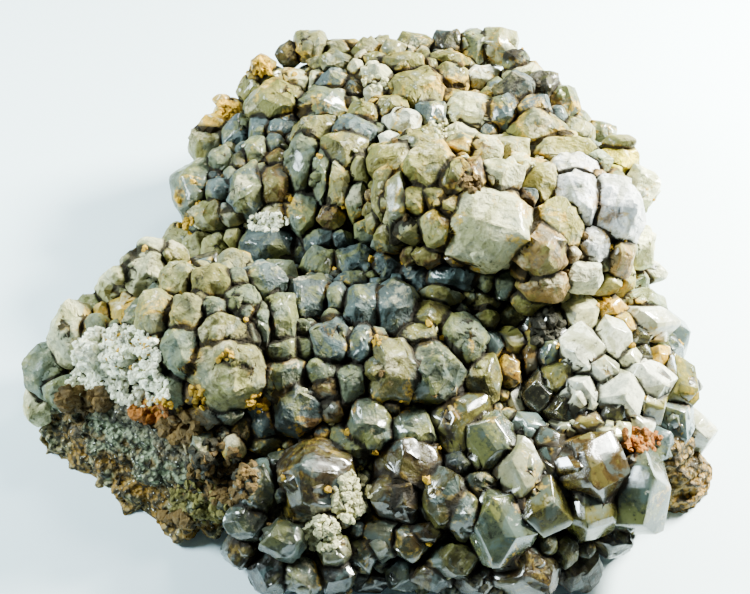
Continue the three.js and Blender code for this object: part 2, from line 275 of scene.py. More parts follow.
PATCHES = {
    "back_rim": Patch(Area.REAR, Habit.BLOCKY, 0.45, 0.9, 0.66, {
        Tone.GOLD: [(263, 68, 20, 18), (257, 76, 14, 12)],
        Tone.DARK: [(289, 55, 18, 18), (449, 46, 27, 21), (515, 58, 16, 12)],
        Tone.BEIGE: [(311, 47, 27, 25), (340, 51, 28, 17), (368, 50, 22, 15), (393, 50, 18, 14), (335, 64, 34, 16)],
        Tone.OLIVE: [(415, 47, 30, 20), (404, 64, 34, 16), (446, 62, 30, 15), (352, 45, 16, 9), (376, 60, 18, 12)],
        Tone.GREY: [(474, 48, 25, 28), (480, 66, 20, 17), (516, 62, 20, 17), (391, 47, 14, 8)],
        Tone.CREAM: [(499, 47, 28, 30), (430, 47, 12, 10)],
    }),
    "back_slope": Patch(Area.UPPER, Habit.BLOCKY, 0.45, 0.85, 1.0, {
        Tone.CREAM: [(296, 86, 28, 25), (316, 84, 17, 20), (376, 80, 28, 23), (474, 120, 56, 34), (523, 76, 30, 20)],
        Tone.WHITE: [(403, 126, 27, 26), (380, 96, 26, 24), (480, 82, 30, 24)],
        Tone.SLATE: [(336, 85, 29, 22), (503, 114, 26, 26), (534, 112, 26, 26)],
        Tone.OLIVE: [
            (273, 79, 28, 17), (254, 93, 21, 26), (279, 107, 42, 34), (415, 98, 52, 40), (449, 80, 28, 24),
            (391, 112, 26, 24), (452, 106, 34, 24), (537, 131, 38, 30), (364, 118, 26, 24), (428, 78, 18, 12),
        ],
        Tone.GREY: [(328, 111, 50, 34), (561, 104, 24, 28), (600, 134, 24, 18), (352, 104, 14, 12)],
        Tone.DARK: [(355, 92, 20, 22), (515, 96, 29, 34), (541, 91, 28, 28)],
        Tone.BEIGE: [(574, 131, 24, 19), (457, 88, 18, 16), (496, 97, 24, 14), (585, 133, 15, 15), (620, 143, 24, 12)],
    }),
    "left_slope": Patch(Area.SLOPE, Habit.BLOCKY, 0.45, 0.4, 0.95, {
        Tone.GOLD: [(231, 112, 24, 20), (213, 127, 24, 17), (222, 100, 12, 10)],
        Tone.OLIVE: [(211, 147, 32, 34), (345, 155, 36, 34), (318, 135, 36, 28), (317, 150, 14, 12)],
        Tone.SLATE: [
            (240, 137, 27, 30), (262, 131, 20, 27), (285, 131, 29, 21), (249, 196, 29, 42), (276, 151, 20, 25),
            (355, 135, 34, 27), (292, 145, 14, 16), (222, 192, 23, 21), (322, 243, 27, 24), (230, 212, 16, 14),
        ],
        Tone.GREY: [
            (257, 157, 22, 28), (222, 163, 20, 23), (199, 193, 38, 46), (305, 171, 29, 56), (325, 178, 18, 46),
            (358, 203, 19, 27), (304, 215, 27, 36), (205, 173, 18, 12), (262, 178, 18, 22), (233, 178, 14, 18),
        ],
        Tone.DARK: [(241, 166, 15, 22), (216, 178, 12, 12)],
        Tone.BEIGE: [(339, 188, 21, 36), (360, 172, 16, 26), (213, 215, 29, 23), (277, 218, 26, 22),
                     (234, 216, 18, 16)],
        Tone.BROWN: [(278, 189, 34, 36), (280, 165, 26, 22), (292, 205, 16, 20)],
    }),
    "nose": Patch(Area.BROW, Habit.BLOCKY, 0.4, 1.0, 1.1, {
        Tone.OLIVE: [
            (393, 164, 38, 32), (385, 196, 20, 42), (432, 172, 44, 38), (422, 148, 46, 26), (455, 182, 30, 34),
            (419, 202, 30, 26), (437, 200, 24, 24), (452, 206, 22, 24),
        ],
        Tone.BEIGE: [(399, 206, 21, 50), (437, 226, 27, 36), (412, 228, 28, 22), (510, 152, 28, 22),
                     (462, 148, 26, 22)],
        Tone.CREAM: [(490, 228, 72, 62), (500, 178, 34, 28), (486, 153, 24, 26), (520, 166, 18, 18)],
        Tone.BROWN: [(470, 178, 24, 28), (430, 255, 24, 17), (460, 256, 28, 15), (444, 246, 18, 12)],
    }),
    "right_brow": Patch(Area.BROW, Habit.BLOCKY, 0.4, 0.7, 2.1, {
        Tone.OLIVE: [(563, 152, 50, 26), (540, 187, 28, 36), (553, 228, 40, 38), (603, 284, 26, 22)],
        # Painted highlights: faces blown out by the lamp, as white crystals.
        Tone.WHITE: [(572, 171, 40, 24), (574, 204, 42, 48), (614, 214, 44, 52), (588, 247, 34, 30)],
        Tone.GOLD: [(614, 160, 34, 26)],
        Tone.BROWN: [(538, 252, 40, 42), (543, 284, 38, 26), (615, 256, 28, 31), (524, 268, 16, 20)],
        Tone.CREAM: [(637, 248, 24, 34), (640, 188, 24, 30), (580, 275, 32, 25), (650, 272, 22, 18)],
        Tone.GREY: [(627, 284, 34, 26), (640, 306, 36, 24), (602, 262, 14, 14)],
    }),
    "terrace_back": Patch(Area.TERRACE, Habit.ROUNDED, 0.4, 0.25, 0.75, {
        Tone.SLATE: [
            (270, 248, 46, 38), (302, 255, 38, 34), (386, 270, 30, 29), (420, 278, 40, 30), (262, 284, 36, 32),
            (356, 268, 36, 31), (455, 275, 41, 22),
        ],
        Tone.GREY: [(322, 268, 34, 30), (286, 288, 17, 19), (484, 276, 28, 26), (508, 284, 28, 24),
                    (404, 292, 16, 14)],
        Tone.OLIVE: [(531, 297, 30, 24), (440, 300, 32, 22), (476, 303, 40, 28), (437, 290, 18, 10)],
    }),
    "terrace": Patch(Area.TERRACE, Habit.ROUNDED, 0.4, 0.15, 0.8, {
        Tone.SLATE: [
            (307, 303, 41, 42), (363, 311, 31, 43), (396, 312, 36, 50), (361, 350, 26, 38), (332, 345, 33, 41),
            (338, 303, 20, 32),
        ],
        Tone.GREY: [
            (306, 330, 22, 18), (280, 323, 26, 45), (262, 326, 20, 34), (458, 345, 40, 50), (305, 350, 22, 24),
            (283, 351, 28, 22), (322, 372, 30, 25), (352, 383, 25, 34), (332, 320, 16, 16), (378, 338, 14, 16),
        ],
        Tone.OLIVE: [(428, 322, 36, 32), (418, 340, 34, 26), (505, 318, 30, 30), (378, 345, 14, 12),
                     (484, 322, 22, 22)],
        Tone.BROWN: [(328, 390, 25, 22), (334, 408, 22, 22), (345, 402, 14, 12)],
    }),
    "left_knoll": Patch(Area.KNOLL, Habit.ROUNDED, 0.25, 0.5, 1.0, {
        Tone.BEIGE: [
            (184, 240, 29, 24), (192, 257, 32, 24), (216, 250, 22, 26), (182, 284, 34, 34), (228, 370, 60, 56),
            (233, 263, 26, 22), (160, 320, 38, 40), (190, 317, 34, 32), (202, 270, 16, 14),
        ],
        Tone.CREAM: [(148, 272, 38, 40), (152, 247, 22, 15), (120, 275, 20, 14), (135, 262, 16, 16)],
        Tone.OLIVE: [(213, 288, 34, 34), (225, 335, 42, 34), (171, 257, 27, 23), (200, 300, 20, 16)],
        Tone.GREY: [
            (237, 286, 24, 26), (243, 310, 29, 38), (218, 312, 28, 22), (185, 353, 35, 42), (158, 361, 25, 46),
            (174, 390, 30, 40), (252, 335, 14, 24),
        ],
        Tone.BROWN: [(206, 412, 30, 24), (192, 392, 16, 20), (207, 345, 12, 14)],
    }),
    "left_end": Patch(Area.KNOLL, Habit.BLOCKY, 0.3, 0.4, 1.1, {
        Tone.CREAM: [(74, 335, 32, 48), (113, 292, 24, 28), (40, 404, 22, 32), (88, 352, 16, 20), (128, 290, 26, 30)],
        Tone.GREY: [(49, 371, 34, 42), (62, 392, 26, 22), (92, 307, 26, 20), (96, 330, 22, 24)],
    }),
    "knoll_foot": Patch(Area.KNOLL, Habit.BLOCKY, 0.45, 0.8, 0.55, {
        Tone.GREY: [(285, 380, 44, 40), (222, 432, 18, 25), (228, 412, 22, 18)],
        Tone.SLATE: [(298, 408, 40, 46), (268, 418, 34, 36)],
        Tone.OLIVE: [(268, 441, 34, 22), (245, 427, 20, 27)],
        Tone.BEIGE: [(205, 446, 24, 38), (190, 440, 14, 20), (232, 448, 18, 20)],
    }),
    "twins": Patch(Area.TERRACE, Habit.BLOCKY, 0.5, 0.45, 0.56, {
        Tone.OLIVE: [(391, 373, 46, 54), (480, 381, 32, 40)],
        Tone.GREY: [(430, 374, 50, 54), (410, 435, 44, 46), (369, 424, 36, 48), (349, 446, 38, 36)],
        Tone.DARK: [(392, 405, 16, 14), (455, 392, 14, 16)],
    }),
    "front": Patch(Area.FRONT, Habit.BLOCKY, 0.7, 0.6, 0.20, {
        Tone.BROWN: [
            (412, 466, 52, 46), (399, 494, 44, 42), (318, 481, 60, 58), (611, 535, 32, 30), (242, 549, 28, 28),
            (525, 570, 50, 38), (372, 577, 30, 24), (474, 577, 30, 28), (434, 573, 30, 26), (425, 533, 24, 14),
        ],
        Tone.OLIVE: [(443, 498, 34, 46), (410, 542, 28, 26), (456, 560, 36, 24)],
        Tone.DARK: [(272, 573, 30, 34), (336, 572, 30, 30)],
        Tone.GREY: [
            (462, 512, 29, 36), (256, 489, 35, 42), (247, 521, 30, 32), (284, 541, 32, 28), (361, 552, 28, 28),
            (404, 573, 28, 26), (504, 556, 24, 24), (225, 505, 20, 20),
        ],
        Tone.CREAM: [(304, 576, 32, 26), (381, 535, 36, 34), (335, 552, 24, 22)],
    }),
    "front_glossy": Patch(Area.FRONT, Habit.SHARP, 0.95, 0.45, 0.4, {
        Tone.OLIVE: [(541, 506, 42, 42), (583, 510, 46, 44), (460, 430, 46, 58)],
        Tone.BROWN: [(571, 515, 14, 14), (588, 468, 62, 54), (520, 500, 20, 20)],
        Tone.GREY: [(489, 448, 42, 50), (498, 526, 44, 56), (634, 490, 44, 64)],
        Tone.DARK: [(547, 471, 27, 36), (560, 492, 18, 18)],
        Tone.CREAM: [(519, 475, 34, 50)],
    }),
    "right_flank": Patch(Area.FLANK, Habit.SHARP, 0.95, 0.4, 1.05, {
        # Painted highlights: the lamp's glints on the flank's facets, as white crystals.
        Tone.WHITE: [
            (580, 354, 36, 38), (611, 344, 27, 34), (645, 323, 42, 26), (602, 372, 25, 25), (580, 396, 30, 34),
            (617, 396, 36, 36), (642, 382, 40, 32), (637, 426, 22, 22), (696, 432, 24, 28), (514, 406, 24, 32),
        ],
        Tone.OLIVE: [(508, 346, 26, 28), (646, 407, 28, 24), (672, 385, 32, 46), (559, 379, 24, 24)],
        Tone.SLATE: [
            (552, 356, 24, 27), (672, 422, 30, 36), (527, 430, 27, 27), (671, 337, 24, 34), (490, 345, 18, 22),
        ],
        Tone.BROWN: [(508, 372, 22, 26), (531, 358, 20, 36), (590, 424, 30, 20)],
        Tone.DARK: [
            (548, 326, 32, 32), (540, 396, 24, 32), (565, 410, 26, 24), (612, 416, 24, 28), (548, 443, 28, 24),
            (524, 332, 14, 14), (538, 345, 12, 12), (560, 338, 14, 14),
        ],
        Tone.CREAM: [(578, 315, 29, 30), (565, 432, 32, 22), (614, 434, 26, 20), (629, 360, 18, 18)],
        Tone.GOLD: [(606, 307, 26, 22), (660, 358, 16, 18)],
    }),
}


@dataclass
class Crystal:
    """One garnet in its place."""

    area: Area
    centre: Vector
    halves: Vector
    frame: Matrix
    turn: Quaternion
    tone: Tone
    habit: Habit
    gloss: float
    stain: float
    # Painted light and shade of the patch that the crystal belongs to.
    light: float
    parent: "Crystal | None" = None

    @property
    def radius(self) -> float:
        """Mean half length."""
        return (self.halves.x * self.halves.y * self.halves.z) ** (1 / 3)

    def reach(self, points: np.ndarray) -> np.ndarray:
        """How far points lie from the crystal's surface, taken as an ellipsoid.

        Args:
            points: Points as rows.

        Returns:
            The distances, negative inside.
        """
        local = (points - np.array(self.centre)) @ np.array(self.frame)
        return (np.linalg.norm(local / np.array(self.halves), axis=1) - 1) * self.radius


def in_order(bm: bmesh.types.BMesh) -> bmesh.types.BMesh:
    """Lays a mesh's points and faces in the order of their places, so that what follows is the same in each run.

    Args:
        bm: The mesh, which is freed.

    Returns:
        The same mesh in that order.
    """
    places = sorted(bm.verts, key=lambda vert: tuple(vert.co))
    rank = {vert: i for i, vert in enumerate(places)}
    rings = []
    for face in bm.faces:
        ring = [rank[vert] for vert in face.verts]
        first = ring.index(min(ring))
        rings.append(ring[first:] + ring[:first])
    ordered = bmesh.new()
    verts = [ordered.verts.new(vert.co) for vert in places]
    for ring in sorted(rings):
        ordered.faces.new([verts[i] for i in ring])
    bm.free()
    return ordered


@dataclass
class Forms:
    """Crystal forms about one unit in radius, from which the crust's crystals are made."""

    rng: random.Random
    variants: int = 7
    jitter: float = 0.07
    main_distance: float = 0.93
    lesser_distance: float = 0.985
    sizes: tuple[float, float] = (1.7, 3.2)
    levels: tuple[tuple[float, int, float], ...] = ((1.0, 1, 0.0), (0.55, 1, 0.8), (0.33, 2, 1.0))
    meshes: dict[tuple[Habit, int], list[bpy.types.Mesh]] = field(default_factory=dict)

    @staticmethod
    def face_directions() -> tuple[list[Vector], list[Vector]]:
        """The 12 main face directions of garnet and its 24 lesser ones."""
        main, lesser = [], []
        for i in range(3):
            j, k = (i + 1) % 3, (i + 2) % 3
            for a in (-1, 1):
                for b in (-1, 1):
                    direction = Vector((0.0, 0.0, 0.0))
                    direction[j], direction[k] = a, b
                    main.append(direction.normalized())
                    for c in (-2, 2):
                        small = direction.copy()
                        small[i] = c
                        lesser.append(small.normalized())
        return main, lesser

    def cut(self, bm: bmesh.types.BMesh, normal: Vector, distance: float) -> None:
        """Cuts the form with a plane and closes the cut.

        Args:
            bm: The form.
            normal: Outward normal of the plane.
            distance: Distance of the plane from the centre.
        """
        geom = bm.verts[:] + bm.edges[:] + bm.faces[:]
        done = bmesh.ops.bisect_plane(
            bm, geom=geom, dist=1e-5, plane_co=normal * distance, plane_no=normal, clear_outer=True
        )
        edges = [part for part in done["geom_cut"] if isinstance(part, bmesh.types.BMEdge)]
        if edges:
            bmesh.ops.edgeloop_fill(bm, edges=edges)

    def make(self, habit: Habit, longest_edge: float, segments: int, detail: float) -> bpy.types.Mesh:
        """One form: a cube cut by the face planes, with its edges worn.

        Args:
            habit: How worn the form is.
            longest_edge: Edge length to which the mesh is refined.
            segments: Steps of the worn edges.
            detail: Share of the habit's small faces that it keeps.

        Returns:
            The form's mesh.
        """
        bevel, passes, share = habit.value
        bm = bmesh.new()
        bmesh.ops.create_cube(bm, size=3.0)
        main, lesser = self.face_directions()
        for direction in main:
            self.cut(bm, direction, self.main_distance * (1 + self.jitter * self.rng.uniform(-1, 1)))
        for direction in lesser:
            if self.rng.random() < share * detail:
                self.cut(bm, direction, self.lesser_distance + self.jitter * self.rng.uniform(-1, 1))
        bm = in_order(bm)
        bmesh.ops.remove_doubles(bm, verts=bm.verts, dist=0.02)
        bmesh.ops.bevel(
            bm, geom=bm.edges[:], offset=bevel, segments=segments, profile=0.5, affect="EDGES",
            clamp_overlap=True, material=-1,
        )
        bm = in_order(bm)
        bmesh.ops.remove_doubles(bm, verts=bm.verts, dist=0.01)
        bmesh.ops.triangulate(bm, faces=bm.faces)
        for _ in range(5):
            long_edges = [edge for edge in bm.edges if edge.calc_length() > longest_edge]
            if not long_edges:
                break
            bmesh.ops.subdivide_edges(bm, edges=long_edges, cuts=1)
            bmesh.ops.triangulate(bm, faces=[face for face in bm.faces if len(face.verts) > 3])
        for _ in range(passes):
            bmesh.ops.smooth_vert(bm, verts=bm.verts, factor=0.5, use_axis_x=True, use_axis_y=True, use_axis_z=True)
        bmesh.ops.recalc_face_normals(bm, faces=bm.faces)
        mesh = bpy.data.meshes.new("form")
        bm.to_mesh(mesh)
        bm.free()
        return mesh

    def pick(self, habit: Habit, radius: float) -> bpy.types.Mesh:
        """A form for a crystal of that habit and radius, made when it is first needed."""
        level = sum(radius >= size for size in self.sizes)
        key = (habit, level)
        if key not in self.meshes:
            longest, segments, detail = self.levels[level]
            self.meshes[key] = [self.make(habit, longest, segments, detail) for _ in range(self.variants)]
        return self.rng.choice(self.meshes[key])

    def clear(self) -> None:
        """Removes the forms, which aren't part of the specimen."""
        for meshes in self.meshes.values():
            for mesh in meshes:
                bpy.data.meshes.remove(mesh)
        self.meshes.clear()


FILL_TONES = {
    Tone.GREY: 22, Tone.SLATE: 14, Tone.OLIVE: 24, Tone.BEIGE: 16, Tone.BROWN: 12, Tone.DARK: 8, Tone.GOLD: 4,
}


@dataclass
class Crust:
    """The garnets: those read in the view, and those that close the crust between and behind them."""

    rng: random.Random
    forms: Forms
    seat: float = 0.42
    swell: float = 1.44
    fill_radii: tuple[float, ...] = (4.6, 3.6, 2.7, 2.0, 1.4)
    fill_spacing: float = 0.82
    fill_sunk: float = 0.45
    most: int = 6000
    sprout_from: float = 2.3
    sprout_more_from: float = 3.6
    sprout_shares: tuple[float, float] = (0.40, 0.58)
    sprout_reach: float = 1.03
    rear_detail: float = 0.7
    hollow_width: float = 1.1
    hollow_range: float = 3.0
    foot: float = 0.6
    seams: list[Vector] = field(default_factory=list)
    centres: np.ndarray = field(default_factory=lambda: np.zeros((0, 3)))
    radii: np.ndarray = field(default_factory=lambda: np.zeros(0))
    crystals: list[Crystal] = field(default_factory=list)

    def turn(self) -> Quaternion:
        """A random turn."""
        return Quaternion([self.rng.uniform(-1, 1) for _ in range(4)]).normalized()

    def read_in_view(self) -> None:
        """Places the crystals that were read in the view."""
        for patch in PATCHES.values():
            for tone, readings in patch.readings.items():
                for column, row, width, height in readings:
                    sight = VIEW.sight(column, row)
                    hits = [mass.depth(sight) for mass in [*MASSES.values(), BROKEN_END]]
                    met = [depth for depth, miss in hits if miss < 1]
                    depth = min(met) if met else min(hits, key=lambda hit: hit[1])[0]
                    scale = self.swell * depth / VIEW.focal / 2
                    halves = Vector((width, height, math.sqrt(width * height))) * scale
                    centre = VIEW.eye + sight * (depth + self.seat * halves.z)
                    turn = self.turn()
                    self.crystals.append(Crystal(
                        patch.area, centre, halves, VIEW.turn(), turn, tone, patch.habit, patch.gloss, patch.stain,
                        patch.light,
                    ))

    def sprout(self) -> None:
        """Adds the smaller crystals that are half sunk in the large ones, on the side that is seen."""
        for parent in list(self.crystals):
            if parent.radius < self.sprout_from:
                continue
            for _ in range(2 if parent.radius < self.sprout_more_from else 3):
                local = Vector([self.rng.gauss(0, 1) for _ in range(3)]).normalized()
                local.z = abs(local.z)
                share = self.rng.uniform(*self.sprout_shares)
                shift = Vector(value * half for value, half in zip(local, parent.halves)) * (self.sprout_reach - share)
                halves = Vector([parent.radius * share * self.rng.uniform(0.85, 1.2) for _ in range(3)])
                # The parent's painted light and shade, with a random spread of tone.
                light = parent.light * self.rng.uniform(0.8, 1.3)
                self.crystals.append(Crystal(
                    parent.area, parent.centre + parent.frame @ shift, halves, parent.frame, self.turn(),
                    parent.tone, parent.habit, parent.gloss, parent.stain, light, parent,
                ))

    def fill(self) -> None:
        """Closes the crust with smaller crystals, from large to small, wherever there is room."""
        golden = math.pi * (3 - math.sqrt(5))
        tones, weights = list(FILL_TONES), list(FILL_TONES.values())
        centres = np.full((self.most, 3), 1e6)
        radii = np.zeros(self.most)
        for i, crystal in enumerate(self.crystals):
            centres[i] = crystal.centre
            radii[i] = crystal.radius
        for size in self.fill_radii:
            for mass in MASSES.values():
                a, b, c = mass.radii
                count = round(4 * math.pi * (a * b + b * c + a * c) / 3 / (size * size) * 1.3)
                for i in range(count):
                    height = 1 - 2 * (i + 0.5) / count
                    ring = math.sqrt(1 - height * height)
                    angle = i * golden
                    unit = Vector((ring * math.cos(angle), ring * math.sin(angle), height))
                    radius = size * self.rng.uniform(0.85, 1.15)
                    centre = mass.from_unit(unit) - mass.normal(unit) * radius * self.fill_sunk
                    gaps = np.linalg.norm(centres - np.array(centre), axis=1) - self.fill_spacing * (radii + radius)
                    if gaps.min() < 0 or not self.is_open(centre, radius, mass):
                        continue
                    centres[len(self.crystals)] = centre
                    radii[len(self.crystals)] = radius
                    halves = Vector([radius * self.rng.uniform(0.85, 1.15) for _ in range(3)])
                    near = self.crystals[int(gaps.argmin())]
                    tone = near.tone if self.rng.random() < 0.55 else self.rng.choices(tones, weights)[0]
                    # Fill crystals take their neighbour's painted light and shade a little darker, or a fixed 0.9 on
                    # another area.
                    stain, light = (near.stain, near.light * 0.9) if near.area is mass.area else (0.6, 0.9)
                    habit, gloss = (Habit.SHARP, 0.8) if mass.area is Area.FLANK else (Habit.BLOCKY, 0.4)
                    self.crystals.append(Crystal(
                        mass.area, centre, halves, Matrix.Identity(3), self.turn(), tone, habit, gloss, stain, light
                    ))

    def is_open(self, centre: Vector, radius: float, mass: Mass) -> bool:
        """Whether a crystal has room at a place on a mass.

        Args:
            centre: The crystal's centre.
            radius: Its radius.
            mass: The mass that it grows on.

        Returns:
            True where no other mass, broken face or floor takes the place.
        """
        if centre.z < 1.0 + radius * 0.4 or FACE.height(centre) > -radius * 0.5 - 1.0:
            return False
        if any(other is not mass and other.to_unit(centre).length < 0.96 for other in MASSES.values()):
            return False
        return BROKEN_END.to_unit(centre).length > 1.26

    def rough_up(self, bm: bmesh.types.BMesh, crystal: Crystal) -> None:
        """Gives a placed crystal uneven faces, and a large worn one its seams.

        Args:
            bm: The crystal, in millimetres.
            crystal: What it is.
        """
        worn = {Habit.ROUNDED: 1.0, Habit.BLOCKY: 0.7, Habit.SHARP: 0.15}[crystal.habit]
        swell = 0.22 * worn * math.sqrt(crystal.radius)
        seams = crystal.habit is not Habit.SHARP and crystal.radius > 2.2

        def relief(place: Vector) -> float:
            """How far the crystal's faces stand out at a place: swells, lumps and seams."""
            move = swell * noise.noise(place * 0.42) + 0.12 * worn * noise.noise(place * 1.1)
            move += 0.05 * worn * noise.noise(place * 2.6)
            if seams:
                near = noise.voronoi(place * 0.34 + noise.noise_vector(place * 0.4) * 0.3)[0]
                move += 0.2 * worn * (0.45 - near[0])
                move -= 0.22 * worn * max(0.0, 1 - (near[1] - near[0]) / 0.09)
            return move

        push_out(bm, relief)

    def hollowness(self, points: np.ndarray, crystal: Crystal) -> np.ndarray:
        """How deep points lie between neighbouring crystals.

        Args:
            points: The crystal's points as rows.
            crystal: The crystal.

        Returns:
            For each point, 0 in the open to 1 where a neighbour touches.
        """
        nearest = np.full(len(points), 9.0)
        gaps = np.linalg.norm(self.centres - np.array(crystal.centre), axis=1) - self.radii - crystal.radius
        for i in np.flatnonzero(gaps < self.hollow_range):
            other = self.crystals[i]
            if other is crystal or other.parent is crystal or crystal.parent is other:
                continue
            nearest = np.minimum(nearest, other.reach(points) / min(1.0, other.radius / 2.6))
        return np.clip(1 - nearest / self.hollow_width, 0, 1)

    def grow(self, crystal: Crystal) -> bmesh.types.BMesh:
        """Makes one crystal in its place.

        Args:
            crystal: The crystal.

        Returns:
            Its mesh in millimetres, with its colour and how deep each point lies between neighbours.
        """
        bm = bmesh.new()
        reach = crystal.radius * (self.rear_detail if crystal.area is Area.REAR else 1.0)
        bm.from_mesh(self.forms.pick(crystal.habit, reach))
        place = Matrix.Translation(crystal.centre) @ crystal.frame.to_4x4()
        place = place @ Matrix.Diagonal(crystal.halves).to_4x4() @ crystal.turn.to_matrix().to_4x4()
        bmesh.ops.transform(bm, matrix=place, verts=bm.verts)
        self.rough_up(bm, crystal)
        points = np.array([vert.co for vert in bm.verts])
        hollows = self.hollowness(points, crystal)
        tint = bm.verts.layers.float_color.new("tint")
        form = bm.verts.layers.float_color.new("form")
        # The patch's painted light and shade, with a random spread of tone from crystal to crystal.
        light = self.rng.uniform(0.8, 1.2) * crystal.light
        colour = [min(0.8, value * light) for value in crystal.tone.value]
        for vert, hollow in zip(bm.verts, hollows):
            vert[tint] = (*colour, crystal.stain)
            # The first value, how deep the point lies between neighbours, sets the painted crease shade and the
            # limonite film.
            vert[form] = (hollow, crystal.gloss, 0.0, ORIGINAL)
        return bm

    def build(self, look: bpy.types.Material) -> None:
        """Makes the crust's pieces.

        Args:
            look: The garnets' material.
        """
        self.read_in_view()
        read = len(self.crystals)
        self.fill()
        self.sprout()
        self.centres = np.array([crystal.centre for crystal in self.crystals])
        self.radii = np.array([crystal.radius for crystal in self.crystals])
        LOG.info("%d crystals read, %d in all", read, len(self.crystals))
        for area in Area:
            grown = [self.grow(crystal) for crystal in self.crystals if crystal.area is area]
            bm = fused(grown, self.foot)
            self.seams.extend(colour_seams(bm))
            finish_piece(bm, area.value, look, "garnet_crust")
        self.forms.clear()


def finish_piece(
    bm: bmesh.types.BMesh, name: str, look: bpy.types.Material, node: str, smooth_angle: float = 38.0
) -> None:
    """Turns a mesh in millimetres into a finished piece.

    Args:
        bm: The mesh, which is freed.
        name: The piece's name.
        look: Its material.
        node: The node that it stands for.
        smooth_angle: Edges up to this angle, in degrees, are shaded smooth.
    """
    bmesh.ops.transform(bm, matrix=Matrix.Scale(MM, 4), verts=bm.verts)
    mesh = bpy.data.meshes.new(name)
    for face in bm.faces:
        face.smooth = True
    bm.to_mesh(mesh)
    bm.free()
    mesh.set_sharp_from_angle(angle=math.radians(smooth_angle))
    mesh.materials.append(look)
    piece = bpy.data.objects.new(name, mesh)
    bpy.context.collection.objects.link(piece)
    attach(piece, "root")
    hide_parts(node)
    LOG.info("%s: %d triangles", name, sum(len(face.vertices) - 2 for face in mesh.polygons))


def fused(shells: list[bmesh.types.BMesh], foot: float) -> bmesh.types.BMesh:
    """Joins overlapping closed shells into one, without what is hidden inside or lies below a height.

    Args:
        shells: The shells, which are freed.
        foot: The height below which everything is cut away.

    Returns:
        The joined mesh.
    """
    group = bpy.data.collections.new("shells")
    bpy.context.scene.collection.children.link(group)
    objects = []
    below = bmesh.new()
    size = Matrix.Diagonal((400.0, 400.0, 100.0)).to_4x4()
    bmesh.ops.create_cube(below, size=1.0, matrix=Matrix.Translation((0.0, 0.0, foot - 50.0)) @ size)
    for shell in [*shells, below]:
        mesh = bpy.data.meshes.new("shell")
        shell.to_mesh(mesh)
        shell.free()
        objects.append(bpy.data.objects.new("shell", mesh))
    for made in objects:
        home = bpy.context.scene.collection if made in (objects[0], objects[-1]) else group
        home.objects.link(made)
    union = objects[0].modifiers.new("union", "BOOLEAN")
    union.operation = "UNION"
    union.solver = "MANIFOLD"
    union.operand_type = "COLLECTION"
    union.collection = group
    trim = objects[0].modifiers.new("trim", "BOOLEAN")
    trim.operation = "DIFFERENCE"
    trim.solver = "MANIFOLD"
    trim.object = objects[-1]
    joined = bmesh.new()
    joined.from_object(objects[0], bpy.context.evaluated_depsgraph_get())
    for made in objects:
        bpy.data.meshes.remove(made.data)
    bpy.data.collections.remove(group)
    return joined


def colour_seams(bm: bmesh.types.BMesh) -> list[Vector]:
    """Gives the points along the seams of joined crystals the colour next to them, and marks them as deep, so that the
    painted crease shade darkens them.

    Args:
        bm: The joined mesh.

    Returns:
        The places of some of the seams' points.
    """
    tint = bm.verts.layers.float_color["tint"]
    form = bm.verts.layers.float_color["form"]
    seams = [vert for vert in bm.verts if abs(vert[form][3] - ORIGINAL) > 0.01]
    for vert in seams:
        near = [edge.other_vert(vert) for edge in vert.link_edges]
        near = [other for other in near if abs(other[form][3] - ORIGINAL) <= 0.01]
        if near:
            vert[tint] = sum((other[tint] for other in near), Vector((0, 0, 0, 0))) / len(near)
            hollow, gloss = (sum(other[form][i] for other in near) / len(near) for i in (0, 1))
            # Deeper than their neighbours, for more painted crease shade.
            vert[form] = (min(1.0, hollow + 0.4), gloss, 0.0, 1.0)
        else:
            # No original neighbour: brown and fully deep, so the painted crease shade makes them near black.
            vert[tint] = (*Tone.BROWN.value, 1.0)
            vert[form] = (1.0, 0.4, 0.0, 1.0)
    return [vert.co.copy() for vert in seams[::SEAM_STEP]]


@dataclass(frozen=True)
class CrumbPatch:
    """A patch of crumbs read in the view: column, row, width, height, number and size in mm."""

    tone: Tone
    column: int
    row: int
    width: int
    height: int
    number: int
    size: float


